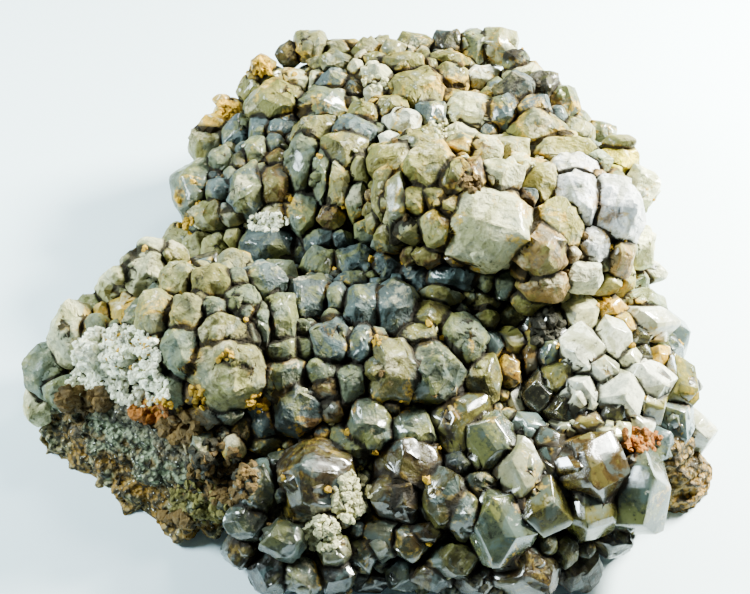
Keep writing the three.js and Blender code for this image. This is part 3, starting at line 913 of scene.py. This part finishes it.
@dataclass
class Crumbs:
    """Crumbs of chalk and ochre: in patches that were read in the view, and here and there along the seams."""

    rng: random.Random
    patches: tuple[CrumbPatch, ...] = (
        CrumbPatch(Tone.CHALK, 116, 354, 88, 58, 520, 0.6),
        CrumbPatch(Tone.CHALK, 140, 388, 60, 38, 240, 0.55),
        CrumbPatch(Tone.CHALK, 92, 382, 50, 34, 180, 0.55),
        CrumbPatch(Tone.GOLD, 124, 350, 60, 40, 60, 0.45),
        CrumbPatch(Tone.OLIVE, 118, 362, 70, 44, 60, 0.45),
        CrumbPatch(Tone.CREAM, 352, 497, 38, 50, 170, 0.7),
        CrumbPatch(Tone.CREAM, 322, 534, 36, 34, 110, 0.65),
        CrumbPatch(Tone.CHALK, 266, 222, 44, 20, 110, 0.5),
        CrumbPatch(Tone.CREAM, 440, 128, 34, 20, 50, 0.45),
        CrumbPatch(Tone.CREAM, 376, 84, 30, 16, 36, 0.45),
        CrumbPatch(Tone.GOLD, 186, 222, 18, 12, 24, 0.6),
        CrumbPatch(Tone.GOLD, 228, 110, 24, 18, 40, 0.7),
        CrumbPatch(Tone.GOLD, 262, 68, 20, 16, 34, 0.7),
        CrumbPatch(Tone.GOLD, 378, 341, 10, 10, 12, 0.5),
        CrumbPatch(Tone.GOLD, 226, 356, 16, 12, 18, 0.4),
        CrumbPatch(Tone.GOLD, 258, 404, 26, 20, 30, 0.6),
        CrumbPatch(Tone.GOLD, 196, 398, 18, 26, 30, 0.6),
        CrumbPatch(Tone.RUST, 150, 412, 40, 20, 60, 0.8),
        CrumbPatch(Tone.GOLD, 158, 404, 26, 14, 24, 0.6),
        CrumbPatch(Tone.RUST, 640, 440, 40, 24, 46, 0.8),
        CrumbPatch(Tone.GOLD, 606, 305, 18, 14, 16, 0.6),
        CrumbPatch(Tone.BROWN, 180, 428, 36, 28, 70, 1.1),
        CrumbPatch(Tone.BROWN, 82, 398, 50, 28, 70, 1.2),
        CrumbPatch(Tone.BROWN, 222, 475, 70, 60, 150, 0.8),
        CrumbPatch(Tone.OLIVE, 200, 500, 60, 50, 110, 0.7),
        CrumbPatch(Tone.DARK, 215, 470, 60, 60, 70, 0.9),
        CrumbPatch(Tone.BROWN, 170, 522, 36, 14, 24, 1.5),
        CrumbPatch(Tone.BROWN, 470, 183, 26, 18, 20, 0.7),
        CrumbPatch(Tone.DARK, 545, 327, 34, 32, 60, 1.0),
    )
    seam_share: float = 0.009
    seam_size: float = 0.55
    seam_spread: float = 0.4
    seam_tones: tuple[Tone, ...] = (Tone.GOLD, Tone.CREAM, Tone.BROWN, Tone.OLIVE)
    seam_weights: tuple[int, ...] = (5, 3, 2, 1)
    foot: float = 0.6

    def crumb(self, bm: bmesh.types.BMesh, place: Vector, size: float, tone: Tone) -> None:
        """Adds one crumb.

        Args:
            bm: The crumbs' mesh.
            place: Its centre.
            size: Its radius.
            tone: Its colour.
        """
        if place.z < self.foot + size:
            return
        tint = bm.verts.layers.float_color["tint"]
        form = bm.verts.layers.float_color["form"]
        turn = Quaternion([self.rng.uniform(-1, 1) for _ in range(4)]).normalized().to_matrix().to_4x4()
        size *= self.rng.uniform(0.55, 1.2)
        stretch = Matrix.Diagonal([size * self.rng.uniform(0.6, 1.25) for _ in range(3)]).to_4x4()
        matrix = Matrix.Translation(place) @ turn @ stretch
        made = bmesh.ops.create_icosphere(bm, subdivisions=1, radius=1.0, matrix=matrix)
        light = self.rng.uniform(0.7, 1.25)
        for vert in made["verts"]:
            vert.co += noise.noise_vector(vert.co * 1.3) * size * 0.45
            vert[tint] = (*(value * light for value in tone.value), 0.0)
            vert[form] = (0.1, 0.1, 1.0, ORIGINAL)

    def build(self, look: bpy.types.Material, seams: list[Vector]) -> None:
        """Makes the crumbs.

        Args:
            look: Their material.
            seams: Places along the seams between crystals.
        """
        bm = bmesh.new()
        bm.verts.layers.float_color.new("tint")
        bm.verts.layers.float_color.new("form")
        for patch in self.patches:
            for _ in range(patch.number):
                angle, share = self.rng.uniform(0, math.tau), math.sqrt(self.rng.random()) / 2
                column = patch.column + patch.width * share * math.cos(angle)
                row = patch.row + patch.height * share * math.sin(angle)
                place = seen_place(column, row)
                if place is not None:
                    self.crumb(bm, place, patch.size, patch.tone)
        for place in seams:
            rich = noise.noise(place * 0.09) > 0.12
            if self.rng.random() < self.seam_share * (3.0 if rich else 0.6):
                tone = self.rng.choices(self.seam_tones, self.seam_weights)[0]
                for _ in range(self.rng.randint(1, 4)):
                    shift = Vector([self.rng.uniform(-self.seam_spread, self.seam_spread) for _ in range(3)])
                    self.crumb(bm, place + shift, self.seam_size, tone)
        finish_piece(bm, "crumbs", look, "garnet_crust", smooth_angle=20.0)


def seen_place(column: float, row: float) -> Vector | None:
    """The place on the specimen that is seen at a place in the view.

    Args:
        column: Column in the view.
        row: Row in the view.

    Returns:
        The place in millimetres, or None beside the specimen.
    """
    depsgraph = bpy.context.evaluated_depsgraph_get()
    hit, place, *_ = bpy.context.scene.ray_cast(depsgraph, VIEW.eye * MM, VIEW.sight(column, row).normalized())
    return place / MM if hit else None


@dataclass
class Ground:
    """The fine-grained floor of the crust, which shows in the gaps between the crystals."""

    inset: float = 2.4
    voxel: float = 1.25
    foot: float = 1.0

    def build(self, look: bpy.types.Material) -> None:
        """Makes the floor of the crust.

        Args:
            look: Its material.
        """
        bm = bmesh.new()
        for mass in MASSES.values():
            add_ball(bm, mass, self.inset)
        bm = remeshed(bm, self.voxel)
        close_cut(bm, -DOWN * self.foot, DOWN)
        close_cut(bm, Vector(FACE.point) - FACE.normal, FACE.normal)
        push_out(bm, self.relief)
        finish_piece(bm, "crust_floor", look, "garnet_crust")

    @staticmethod
    def relief(place: Vector) -> float:
        """How far the floor stands out at a place: small lumps."""
        return 0.5 * noise.noise(place * 0.8) + 0.3 * noise.noise(place * 2.0) - 0.2


def push_out(bm: bmesh.types.BMesh, relief: Callable[[Vector], float]) -> None:
    """Moves each point of a mesh along its normal, as far as the relief stands out at its place."""
    bm.normal_update()
    moves = [relief(vert.co) for vert in bm.verts]
    for vert, move in zip(bm.verts, moves):
        vert.co += vert.normal * move


def close_cut(bm: bmesh.types.BMesh, point: Vector, outward: Vector) -> None:
    """Cuts everything beyond a plane off a closed mesh, and closes it.

    Args:
        bm: The mesh.
        point: A point on the plane.
        outward: The plane's normal, towards what is cut off.
    """
    geom = bm.verts[:] + bm.edges[:] + bm.faces[:]
    done = bmesh.ops.bisect_plane(bm, geom=geom, dist=1e-5, plane_co=point, plane_no=outward, clear_outer=True)
    edges = [part for part in done["geom_cut"] if isinstance(part, bmesh.types.BMEdge)]
    caps = bmesh.ops.edgeloop_fill(bm, edges=edges)["faces"]
    bmesh.ops.triangulate(bm, faces=caps)
    bmesh.ops.recalc_face_normals(bm, faces=bm.faces)


def remeshed(bm: bmesh.types.BMesh, voxel: float) -> bmesh.types.BMesh:
    """Fuses overlapping closed shells into one skin.

    Args:
        bm: The shells, which are freed.
        voxel: Edge length of the new skin's faces.

    Returns:
        The fused mesh.
    """
    mesh = bpy.data.meshes.new("shells")
    bm.to_mesh(mesh)
    bm.free()
    shells = bpy.data.objects.new("shells", mesh)
    bpy.context.collection.objects.link(shells)
    fuse = shells.modifiers.new("fuse", "REMESH")
    fuse.mode = "VOXEL"
    fuse.voxel_size = voxel
    depsgraph = bpy.context.evaluated_depsgraph_get()
    fused = bmesh.new()
    fused.from_object(shells, depsgraph)
    bpy.data.objects.remove(shells)
    bpy.data.meshes.remove(mesh)
    return fused


def add_ball(bm: bmesh.types.BMesh, mass: Mass, inset: float) -> None:
    """Adds a mass's ellipsoid to a mesh.

    Args:
        bm: The mesh.
        mass: The mass.
        inset: How much smaller its radii are made.
    """
    made = bmesh.ops.create_icosphere(bm, subdivisions=4, radius=1.0)
    size = Matrix.Diagonal([radius - inset for radius in mass.radii]).to_4x4()
    place = Matrix.Translation(mass.centre) @ Matrix.Rotation(math.radians(mass.turn), 4, "Z") @ size
    bmesh.ops.transform(bm, matrix=place, verts=made["verts"])


@dataclass
class HostRock:
    """The bare rock: the block with its flat underside and the broken end at the left front; the rusty spur is made by
    Spur.
    """

    core_voxel: float = 1.6
    end_voxel: float = 0.36
    end_depth: float = 11.0
    block_inset: float = 1.5
    cores: tuple[Mass, ...] = (
        Mass(Area.UPPER, (6, 26, 6), (28, 22, 20)),
        Mass(Area.TERRACE, (0, -12, 2), (36, 22, 14)),
        Mass(Area.FRONT, (14, -26, 2), (28, 17, 9)),
        Mass(Area.KNOLL, (-33, -22, 3), (25.5, 16.5, 11.5), turn=15.0),
    )

    def build(self, look: bpy.types.Material) -> None:
        """Makes the block of rock and its broken end.

        Args:
            look: The rock's material.
        """
        bm = bmesh.new()
        for mass in self.cores:
            add_ball(bm, mass, 0.0)
        bm = remeshed(bm, self.core_voxel)
        close_cut(bm, Vector(FACE.point) - FACE.normal * self.block_inset, FACE.normal)
        close_cut(bm, Vector(), DOWN)
        finish_piece(bm, "host_rock_block", look, "host_rock")
        bm = bmesh.new()
        add_ball(bm, BROKEN_END, 0.0)
        close_cut(bm, Vector(FACE.point), FACE.normal)
        close_cut(bm, Vector(FACE.point) - FACE.normal * self.end_depth, -FACE.normal)
        bm = remeshed(bm, self.end_voxel)
        push_out(bm, self.relief)
        close_cut(bm, Vector(), DOWN)
        finish_piece(bm, "broken_end", look, "host_rock", smooth_angle=30.0)

    @staticmethod
    def relief(place: Vector) -> float:
        """How far the broken rock stands out at a place: lumps, angular grains, hollows and pits."""
        lump = 1.3 * noise.noise(place * 0.16) + 1.0 * noise.noise(place * 0.4)
        warped = place * 0.45 + noise.noise_vector(place * 0.4) * 0.5
        near = noise.voronoi(warped)[0]
        grain = 1.1 * (0.45 - near[0]) + 0.35 * noise.cell(noise.voronoi(warped)[1][0] * 7.3)
        fine = noise.voronoi(place * 1.25)[0]
        hollow = max(0.0, noise.noise(place * 0.3 + Vector((7.0, 3.0, 1.0))) - 0.12)
        return lump + grain + 0.42 * (0.4 - fine[0]) - 4.5 * hollow - 0.5


@dataclass
class Spur:
    """The rusty, layered spur at the right front."""

    foot: tuple[float, float, float] = (49.5, -27.5, 1.6)
    slabs: int = 5
    halves: tuple[float, float] = (9.0, 7.5)
    thickness: float = 3.2
    rise: float = 2.5
    setback: tuple[float, float] = (-0.8, 0.5)
    shrink: float = 0.08
    dip: float = 9.0
    voxel: float = 0.28
    base: float = 0.05

    def build(self, look: bpy.types.Material) -> None:
        """Makes the spur.

        Args:
            look: Its material.
        """
        bm = bmesh.new()
        for i in range(self.slabs):
            share = 1 - self.shrink * i
            made = bmesh.ops.create_cone(
                bm, cap_ends=True, segments=9, radius1=1.0, radius2=0.86, depth=1.0
            )
            size = Matrix.Diagonal((self.halves[0] * share, self.halves[1] * share, self.thickness)).to_4x4()
            turn = Matrix.Rotation(math.radians(24 * i), 4, "Z")
            dip = Matrix.Rotation(math.radians(self.dip), 4, "Y")
            x, y, z = self.foot
            place = Matrix.Translation((x + self.setback[0] * i, y + self.setback[1] * i, z + self.rise * i))
            bmesh.ops.transform(bm, matrix=place @ dip @ size @ turn, verts=made["verts"])
        bm = remeshed(bm, self.voxel)
        push_out(bm, self.relief)
        close_cut(bm, -DOWN * self.base, DOWN)
        finish_piece(bm, "rusty_spur", look, "host_rock")

    @staticmethod
    def relief(place: Vector) -> float:
        """How far the layered rock stands out at a place: thin ledges, lumps and grains."""
        level = place.z + 0.16 * place.x + 1.2 * noise.noise(place * 0.2)
        ledge = 0.35 * abs((level * 0.55) % 2 - 1)
        lump = 0.9 * noise.noise(place * 0.3) + 0.35 * noise.noise(place * 0.9)
        near = noise.voronoi(place * 0.9)[0]
        return lump + ledge + 0.4 * (0.35 - near[0]) - 0.2


@dataclass(frozen=True)
class Value:
    """A socket of a material, on which sums and products add Math nodes."""

    nodes: "Nodes"
    socket: bpy.types.NodeSocket

    def math(self, operation: str, other: "Value | float") -> "Value":
        """This value combined with another by a Math node."""
        return self.nodes.add("ShaderNodeMath", {"operation": operation}, {0: self, 1: other})

    def __add__(self, other: "Value | float") -> "Value":
        """Sum."""
        return self.math("ADD", other)

    def __sub__(self, other: "Value | float") -> "Value":
        """Difference."""
        return self.math("SUBTRACT", other)

    def __mul__(self, other: "Value | float") -> "Value":
        """Product."""
        return self.math("MULTIPLY", other)

    def __rsub__(self, other: float) -> "Value":
        """Difference from a number."""
        return self.nodes.add("ShaderNodeMath", {"operation": "SUBTRACT"}, {0: other, 1: self})

    __radd__ = __add__
    __rmul__ = __mul__

    def clamped(self) -> "Value":
        """The value held between 0 and 1."""
        return self.nodes.add("ShaderNodeClamp", {}, {"Value": self})

    def ramp(self, low: float, high: float) -> "Value":
        """A smooth step from 0 at low to 1 at high."""
        settings = {"interpolation_type": "SMOOTHSTEP"}
        return self.nodes.add("ShaderNodeMapRange", settings, {"Value": self, "From Min": low, "From Max": high})


@dataclass
class Nodes:
    """The node tree of one material."""

    material: bpy.types.Material

    @classmethod
    def new(cls, name: str) -> "Nodes":
        """An empty tree for a new material."""
        material = bpy.data.materials.new(name)
        material.use_nodes = True
        material.node_tree.nodes.clear()
        return cls(material)

    def add(
        self, kind: str, settings: dict[str, object], inputs: dict[str | int, object], output: str | int = 0
    ) -> Value:
        """Adds a node.

        Args:
            kind: The node's type.
            settings: Its settings, set first.
            inputs: Values or links of its sockets, by name or number.
            output: The output to return.

        Returns:
            The output as a value, or the first input where the node has no output.
        """
        node = self.material.node_tree.nodes.new(kind)
        for name, value in settings.items():
            setattr(node, name, value)
        for key, value in inputs.items():
            if isinstance(value, Value):
                self.material.node_tree.links.new(value.socket, node.inputs[key])
            else:
                node.inputs[key].default_value = value
        return Value(self, node.outputs[output] if node.outputs else node.inputs[0])

    def attribute(self, name: str, output: str = "Color") -> Value:
        """A colour that is kept on the mesh."""
        return self.add("ShaderNodeAttribute", {"attribute_name": name}, {}, output)

    def part(self, colour: Value, channel: int) -> Value:
        """One channel of a colour."""
        return self.add("ShaderNodeSeparateColor", {}, {0: colour}, channel)

    def place(self) -> Value:
        """Object coordinates."""
        return self.add("ShaderNodeTexCoord", {}, {}, "Object")

    def noise(self, scale: float, detail: float = 3.0, distortion: float = 0.0, roughness: float = 0.55) -> Value:
        """Cloudy noise with so many waves a metre."""
        values = {
            "Vector": self.place(), "Scale": scale, "Detail": detail, "Distortion": distortion, "Roughness": roughness
        }
        return self.add("ShaderNodeTexNoise", {}, values, "Fac")

    def cells(self, scale: float, warp: float) -> Value:
        """Cell pattern with so many cells a metre, its borders warped by noise."""
        place = self.place()
        cloud = self.add("ShaderNodeTexNoise", {}, {"Vector": place, "Scale": scale * 1.3}, "Color")
        shift = self.add("ShaderNodeVectorMath", {"operation": "SCALE"}, {0: cloud, "Scale": warp / scale})
        vector = self.add("ShaderNodeVectorMath", {"operation": "ADD"}, {0: place, 1: shift})
        return self.add("ShaderNodeTexVoronoi", {"feature": "F1"}, {"Vector": vector, "Scale": scale}, "Distance")

    def mix(self, factor: Value | float, first: object, second: object, blend: str = "MIX") -> Value:
        """Two colours mixed."""
        pair = [value if isinstance(value, Value) else (*value, 1.0) for value in (first, second)]
        settings = {"data_type": "RGBA", "blend_type": blend}
        return self.add("ShaderNodeMix", settings, {0: factor, 6: pair[0], 7: pair[1]}, 2)

    def bump(self, height: Value, distance_m: float, strength: float = 1.0, base: Value | None = None) -> Value:
        """Relief too fine for the mesh."""
        inputs: dict[str | int, object] = {"Height": height, "Distance": distance_m, "Strength": strength}
        if base is not None:
            inputs["Normal"] = base
        return self.add("ShaderNodeBump", {}, inputs)

    def upward(self) -> Value:
        """How far the surface faces up."""
        normal = self.add("ShaderNodeNewGeometry", {}, {}, "Normal")
        return self.add("ShaderNodeSeparateXYZ", {}, {0: normal}, "Z")


def close_tree(nodes: Nodes, inputs: dict[str | int, object]) -> bpy.types.Material:
    """Ends a tree with a Principled shader and the material output.

    Args:
        nodes: The tree.
        inputs: The shader's values and links.

    Returns:
        The material.
    """
    shader = nodes.add("ShaderNodeBsdfPrincipled", {}, inputs)
    nodes.add("ShaderNodeOutputMaterial", {}, {"Surface": shader})
    return nodes.material


@dataclass(frozen=True)
class GarnetFinish:
    """Garnet: mottled crystal faces with dark pits, limonite film, cream dust on the tops, and painted shade in the
    hollows between crystals.
    """

    film: tuple[float, float, float] = (0.15, 0.068, 0.006)
    gold: tuple[float, float, float] = (0.56, 0.34, 0.022)
    moss: tuple[float, float, float] = (0.155, 0.155, 0.034)
    slate: tuple[float, float, float] = (0.06, 0.095, 0.095)
    dust: tuple[float, float, float] = (0.52, 0.47, 0.30)
    frost: tuple[float, float, float] = (0.62, 0.64, 0.58)
    # Near black: the colour of the dark pits, and of the painted shade in the creases between crystals.
    dirt_and_shade: tuple[float, float, float] = (0.007, 0.004, 0.001)

    def material(self) -> bpy.types.Material:
        """The garnets' material."""
        nodes = Nodes.new("garnet")
        tint = nodes.attribute("tint")
        form = nodes.attribute("form")
        hollow = nodes.part(form, 0)
        gloss = nodes.part(form, 1)
        mixed = 1.0 - nodes.part(form, 2)
        stain = nodes.attribute("tint", "Alpha")
        clean = nodes.part(tint, 1).ramp(0.0, 0.08) * 0.8 + 0.2
        mottle = nodes.noise(300.0, detail=6.0, distortion=0.6, roughness=0.62)
        speck = nodes.noise(1300.0, detail=4.0, roughness=0.65)
        patch = nodes.noise(190.0, detail=5.0, distortion=0.8)
        shade = ((mottle - 0.5) * 2.6 + (speck - 0.5) * 1.5 + 0.95).clamped() * 1.15
        grey = nodes.add("ShaderNodeCombineColor", {}, {0: shade, 1: shade, 2: shade})
        colour = nodes.mix(1.0, tint, grey, "MULTIPLY")
        colour = nodes.mix((patch + (speck - 0.5) * 0.4).ramp(0.50, 0.60) * 0.6 * mixed * clean, colour, self.moss)
        colour = nodes.mix((0.5 - patch + (mottle - 0.5) * 0.7).ramp(0.03, 0.15) * 0.5 * mixed, colour, self.slate)
        cloud = nodes.noise(150.0, detail=6.0, distortion=0.9, roughness=0.6)
        film = ((cloud - 0.64) * 7.0 + stain * 0.9 + hollow * 0.9 + (speck - 0.5) * 2.4).ramp(0.2, 0.9)
        tan = nodes.mix((mottle + (speck - 0.5) * 0.5).ramp(0.42, 0.56), self.film, self.gold)
        colour = nodes.mix(film * 0.8 * mixed * clean, colour, tan)
        upward = nodes.upward()
        drift = nodes.noise(110.0, detail=5.0, roughness=0.6)
        dust = ((drift - 0.58) * 7.0 + upward * 0.5 + stain * 0.4 + (speck - 0.5) * 3.0 - gloss * 0.6).ramp(0.3, 1.3)
        colour = nodes.mix(dust * 0.7 * mixed * clean, colour, self.dust)
        frost = ((speck - 0.5) * 4.0 + (mottle - 0.5) * 2.6 + upward * 0.3 - gloss * 0.3).ramp(0.75, 1.2)
        colour = nodes.mix(frost * 0.6 * mixed * clean, colour, self.frost)
        pit = ((0.46 - speck) * 6.0 + (0.5 - mottle) * 2.0).ramp(0.5, 1.1)
        colour = nodes.mix(pit * 0.7 * mixed, colour, self.dirt_and_shade)
        # Painted shade: darkens the creases between crystals, more where a point lies deeper between its neighbours.
        dirt_and_shade = (hollow * 1.25 + (mottle - 0.5) * 0.9).ramp(0.45, 1.0)
        colour = nodes.mix(dirt_and_shade * 0.95, colour, self.dirt_and_shade)
        dull = film * 0.15 + dust * 0.3 + dirt_and_shade * 0.3
        uneven = ((speck - 0.5) * 0.5 + (mottle - 0.5) * 0.4) * (1.2 - gloss)
        roughness = (0.76 - gloss * 0.62 + uneven + dull).clamped()
        rough = 1.1 - gloss
        fine = nodes.bump(speck * rough, 0.0006, 0.8)
        pits = nodes.bump(nodes.cells(430.0, warp=0.7) * rough, 0.0011, 0.7, fine)
        relief = nodes.bump(mottle * rough, 0.0016, 0.8, pits)
        glassy = (gloss * 1.5 - 0.45 - dirt_and_shade * 0.8 - dust * 0.4 + (mottle - 0.5) * 0.8).clamped()
        return close_tree(nodes, {
            "Base Color": colour, "Roughness": roughness, "Normal": relief, "IOR": 1.5, "Specular IOR Level": 0.22,
            "Coat Weight": glassy, "Coat Roughness": 0.13, "Coat IOR": 1.8,
        })


@dataclass(frozen=True)
class RockFinish:
    """Host rock: grey-green and brown grains, with pale grit, rust, and painted glints on the grains."""

    dark: tuple[float, float, float] = (0.012, 0.011, 0.006)
    brown: tuple[float, float, float] = (0.11, 0.07, 0.018)
    green: tuple[float, float, float] = (0.21, 0.25, 0.15)
    pale: tuple[float, float, float] = (0.62, 0.62, 0.36)
    rust: tuple[float, float, float] = (0.30, 0.15, 0.006)
    red: tuple[float, float, float] = (0.055, 0.022, 0.008)
    # Painted highlights: near-white specks that stand in for glints on the grains.
    painted_glint: tuple[float, float, float] = (0.85, 0.88, 0.80)

    def material(self, name: str, rusty: float) -> bpy.types.Material:
        """A material of the rock.

        Args:
            name: The material's name.
            rusty: How far rust covers it, from 0 to 1.

        Returns:
            The material.
        """
        nodes = Nodes.new(name)
        height = nodes.add("ShaderNodeSeparateXYZ", {}, {0: nodes.place()}, "Z") * 1000.0
        broad = nodes.noise(110.0, detail=4.0, distortion=0.6)
        middle = nodes.noise(420.0, detail=4.0)
        grain = nodes.cells(1100.0, warp=0.6)
        grit = nodes.noise(1900.0, detail=3.0)
        colour = nodes.mix((broad + (middle - 0.5) * 0.6).ramp(0.40, 0.58), self.brown, self.green)
        colour = nodes.mix(((middle - 0.5) * 4.0 + (grit - 0.5) * 3.0).ramp(0.35, 1.0) * 0.8, colour, self.pale)
        low = (height + (broad - 0.5) * 14.0).ramp(6.0, 1.5)
        colour = nodes.mix(low * 0.55, colour, self.rust)
        high = (height + (broad - 0.5) * 14.0 + (middle - 0.5) * 8.0).ramp(11.0, 15.0)
        colour = nodes.mix(high * 0.75, colour, self.red)
        rust = ((broad - 0.5) * 3.0 + (middle - 0.5) * 3.0 + rusty * 2.0 - 0.8).ramp(0.0, 1.0)
        colour = nodes.mix(rust * 0.85, colour, self.rust)
        colour = nodes.mix((grain + (middle - 0.5) * 0.8).ramp(0.35, 0.7) * 0.9, colour, self.dark)
        # Painted highlights: glinting grains, fewer where rust covers the rock.
        colour = nodes.mix((grit + (middle - 0.5) * 0.3).ramp(0.66, 0.72) * (1.0 - rust * 0.7), colour, self.painted_glint)
        roughness = (0.62 + (middle - 0.5) * 0.9 - rust * 0.1).clamped()
        fine = nodes.bump(grain, 0.0006, 0.9)
        relief = nodes.bump(middle, 0.0014, 0.8, fine)
        return close_tree(nodes, {
            "Base Color": colour, "Roughness": roughness, "Normal": relief, "Specular IOR Level": 0.22,
        })


@dataclass
class Studio:
    """The floor, the lamps and the camera."""

    floor_colour: tuple[float, float, float] = (0.72, 0.88, 0.95)
    wide_light: float = 2.0

    def lamp(self, name: str, place: Vector, aim: Vector, size: float, power: float, colour: Vector) -> None:
        """Adds a square soft lamp.

        Args:
            name: The lamp's name.
            place: Where it stands, in metres.
            aim: What it points at, in metres.
            size: Its edge, in metres.
            power: Its power, in watts.
            colour: Its colour.
        """
        light = bpy.data.lights.new(name, "AREA")
        light.size = size
        light.energy = power
        light.color = colour
        lamp = bpy.data.objects.new(name, light)
        lamp.location = place
        lamp.rotation_euler = (place - aim).to_track_quat("Z", "Y").to_euler()
        bpy.context.collection.objects.link(lamp)

    def build(self) -> None:
        """Makes the floor, lamps, sky and camera."""
        bm = bmesh.new()
        bmesh.ops.create_grid(bm, x_segments=1, y_segments=1, size=2.0)
        mesh = bpy.data.meshes.new("floor")
        bm.to_mesh(mesh)
        bm.free()
        floor = bpy.data.objects.new("floor", mesh)
        nodes = Nodes.new("floor")
        mesh.materials.append(close_tree(nodes, {"Base Color": (*self.floor_colour, 1.0), "Roughness": 0.6}))
        bpy.context.collection.objects.link(floor)
        middle = Vector((0.0, 0.0, 0.02))
        self.lamp("key_lamp", Vector((0.19, 0.10, 0.155)), middle, 0.06, 7.0, Vector((0.97, 1.0, 0.88)))
        self.lamp("left_lamp", Vector((-0.25, 0.03, 0.19)), middle, 0.09, 2.8, Vector((0.80, 0.97, 1.0)))
        light = bpy.data.lights.new("wide_lamp", "SUN")
        light.energy = self.wide_light
        light.angle = math.radians(9.0)
        light.color = (0.97, 1.0, 0.94)
        wide = bpy.data.objects.new("wide_lamp", light)
        wide.rotation_euler = Vector((0.5, 0.42, 0.75)).to_track_quat("Z", "Y").to_euler()
        bpy.context.collection.objects.link(wide)
        world = bpy.data.worlds.new("sky")
        world.use_nodes = True
        background = world.node_tree.nodes["Background"]
        background.inputs["Color"].default_value = (0.68, 0.90, 1.0, 1.0)
        background.inputs["Strength"].default_value = 0.10
        bpy.context.scene.world = world
        self.camera()

    def camera(self) -> None:
        """Stands the camera where the photograph was taken from."""
        data = bpy.data.cameras.new("camera")
        data.sensor_fit = "HORIZONTAL"
        data.sensor_width = 36.0
        data.lens = data.sensor_width * VIEW.focal / VIEW.columns
        data.clip_start = 0.005
        camera = bpy.data.objects.new("camera", data)
        camera.matrix_world = Matrix.Translation(VIEW.eye * MM) @ VIEW.turn().to_4x4()
        bpy.context.collection.objects.link(camera)
        bpy.context.scene.camera = camera


def main() -> None:
    """Builds the specimen and its studio."""
    logging.basicConfig(level=logging.INFO, format="%(name)s: %(message)s")
    rng = random.Random(SEED)
    noise.seed_set(SEED)
    garnet = GarnetFinish().material()
    rock = RockFinish().material("rock", rusty=0.15)
    rust = RockFinish().material("rusty_rock", rusty=0.75)
    crust = Crust(rng, Forms(rng))
    crust.build(garnet)
    Ground().build(garnet)
    HostRock().build(rock)
    Spur().build(rust)
    Crumbs(rng).build(garnet, crust.seams)
    Studio().build()
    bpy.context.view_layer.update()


if __name__ == "__main__":
    main()
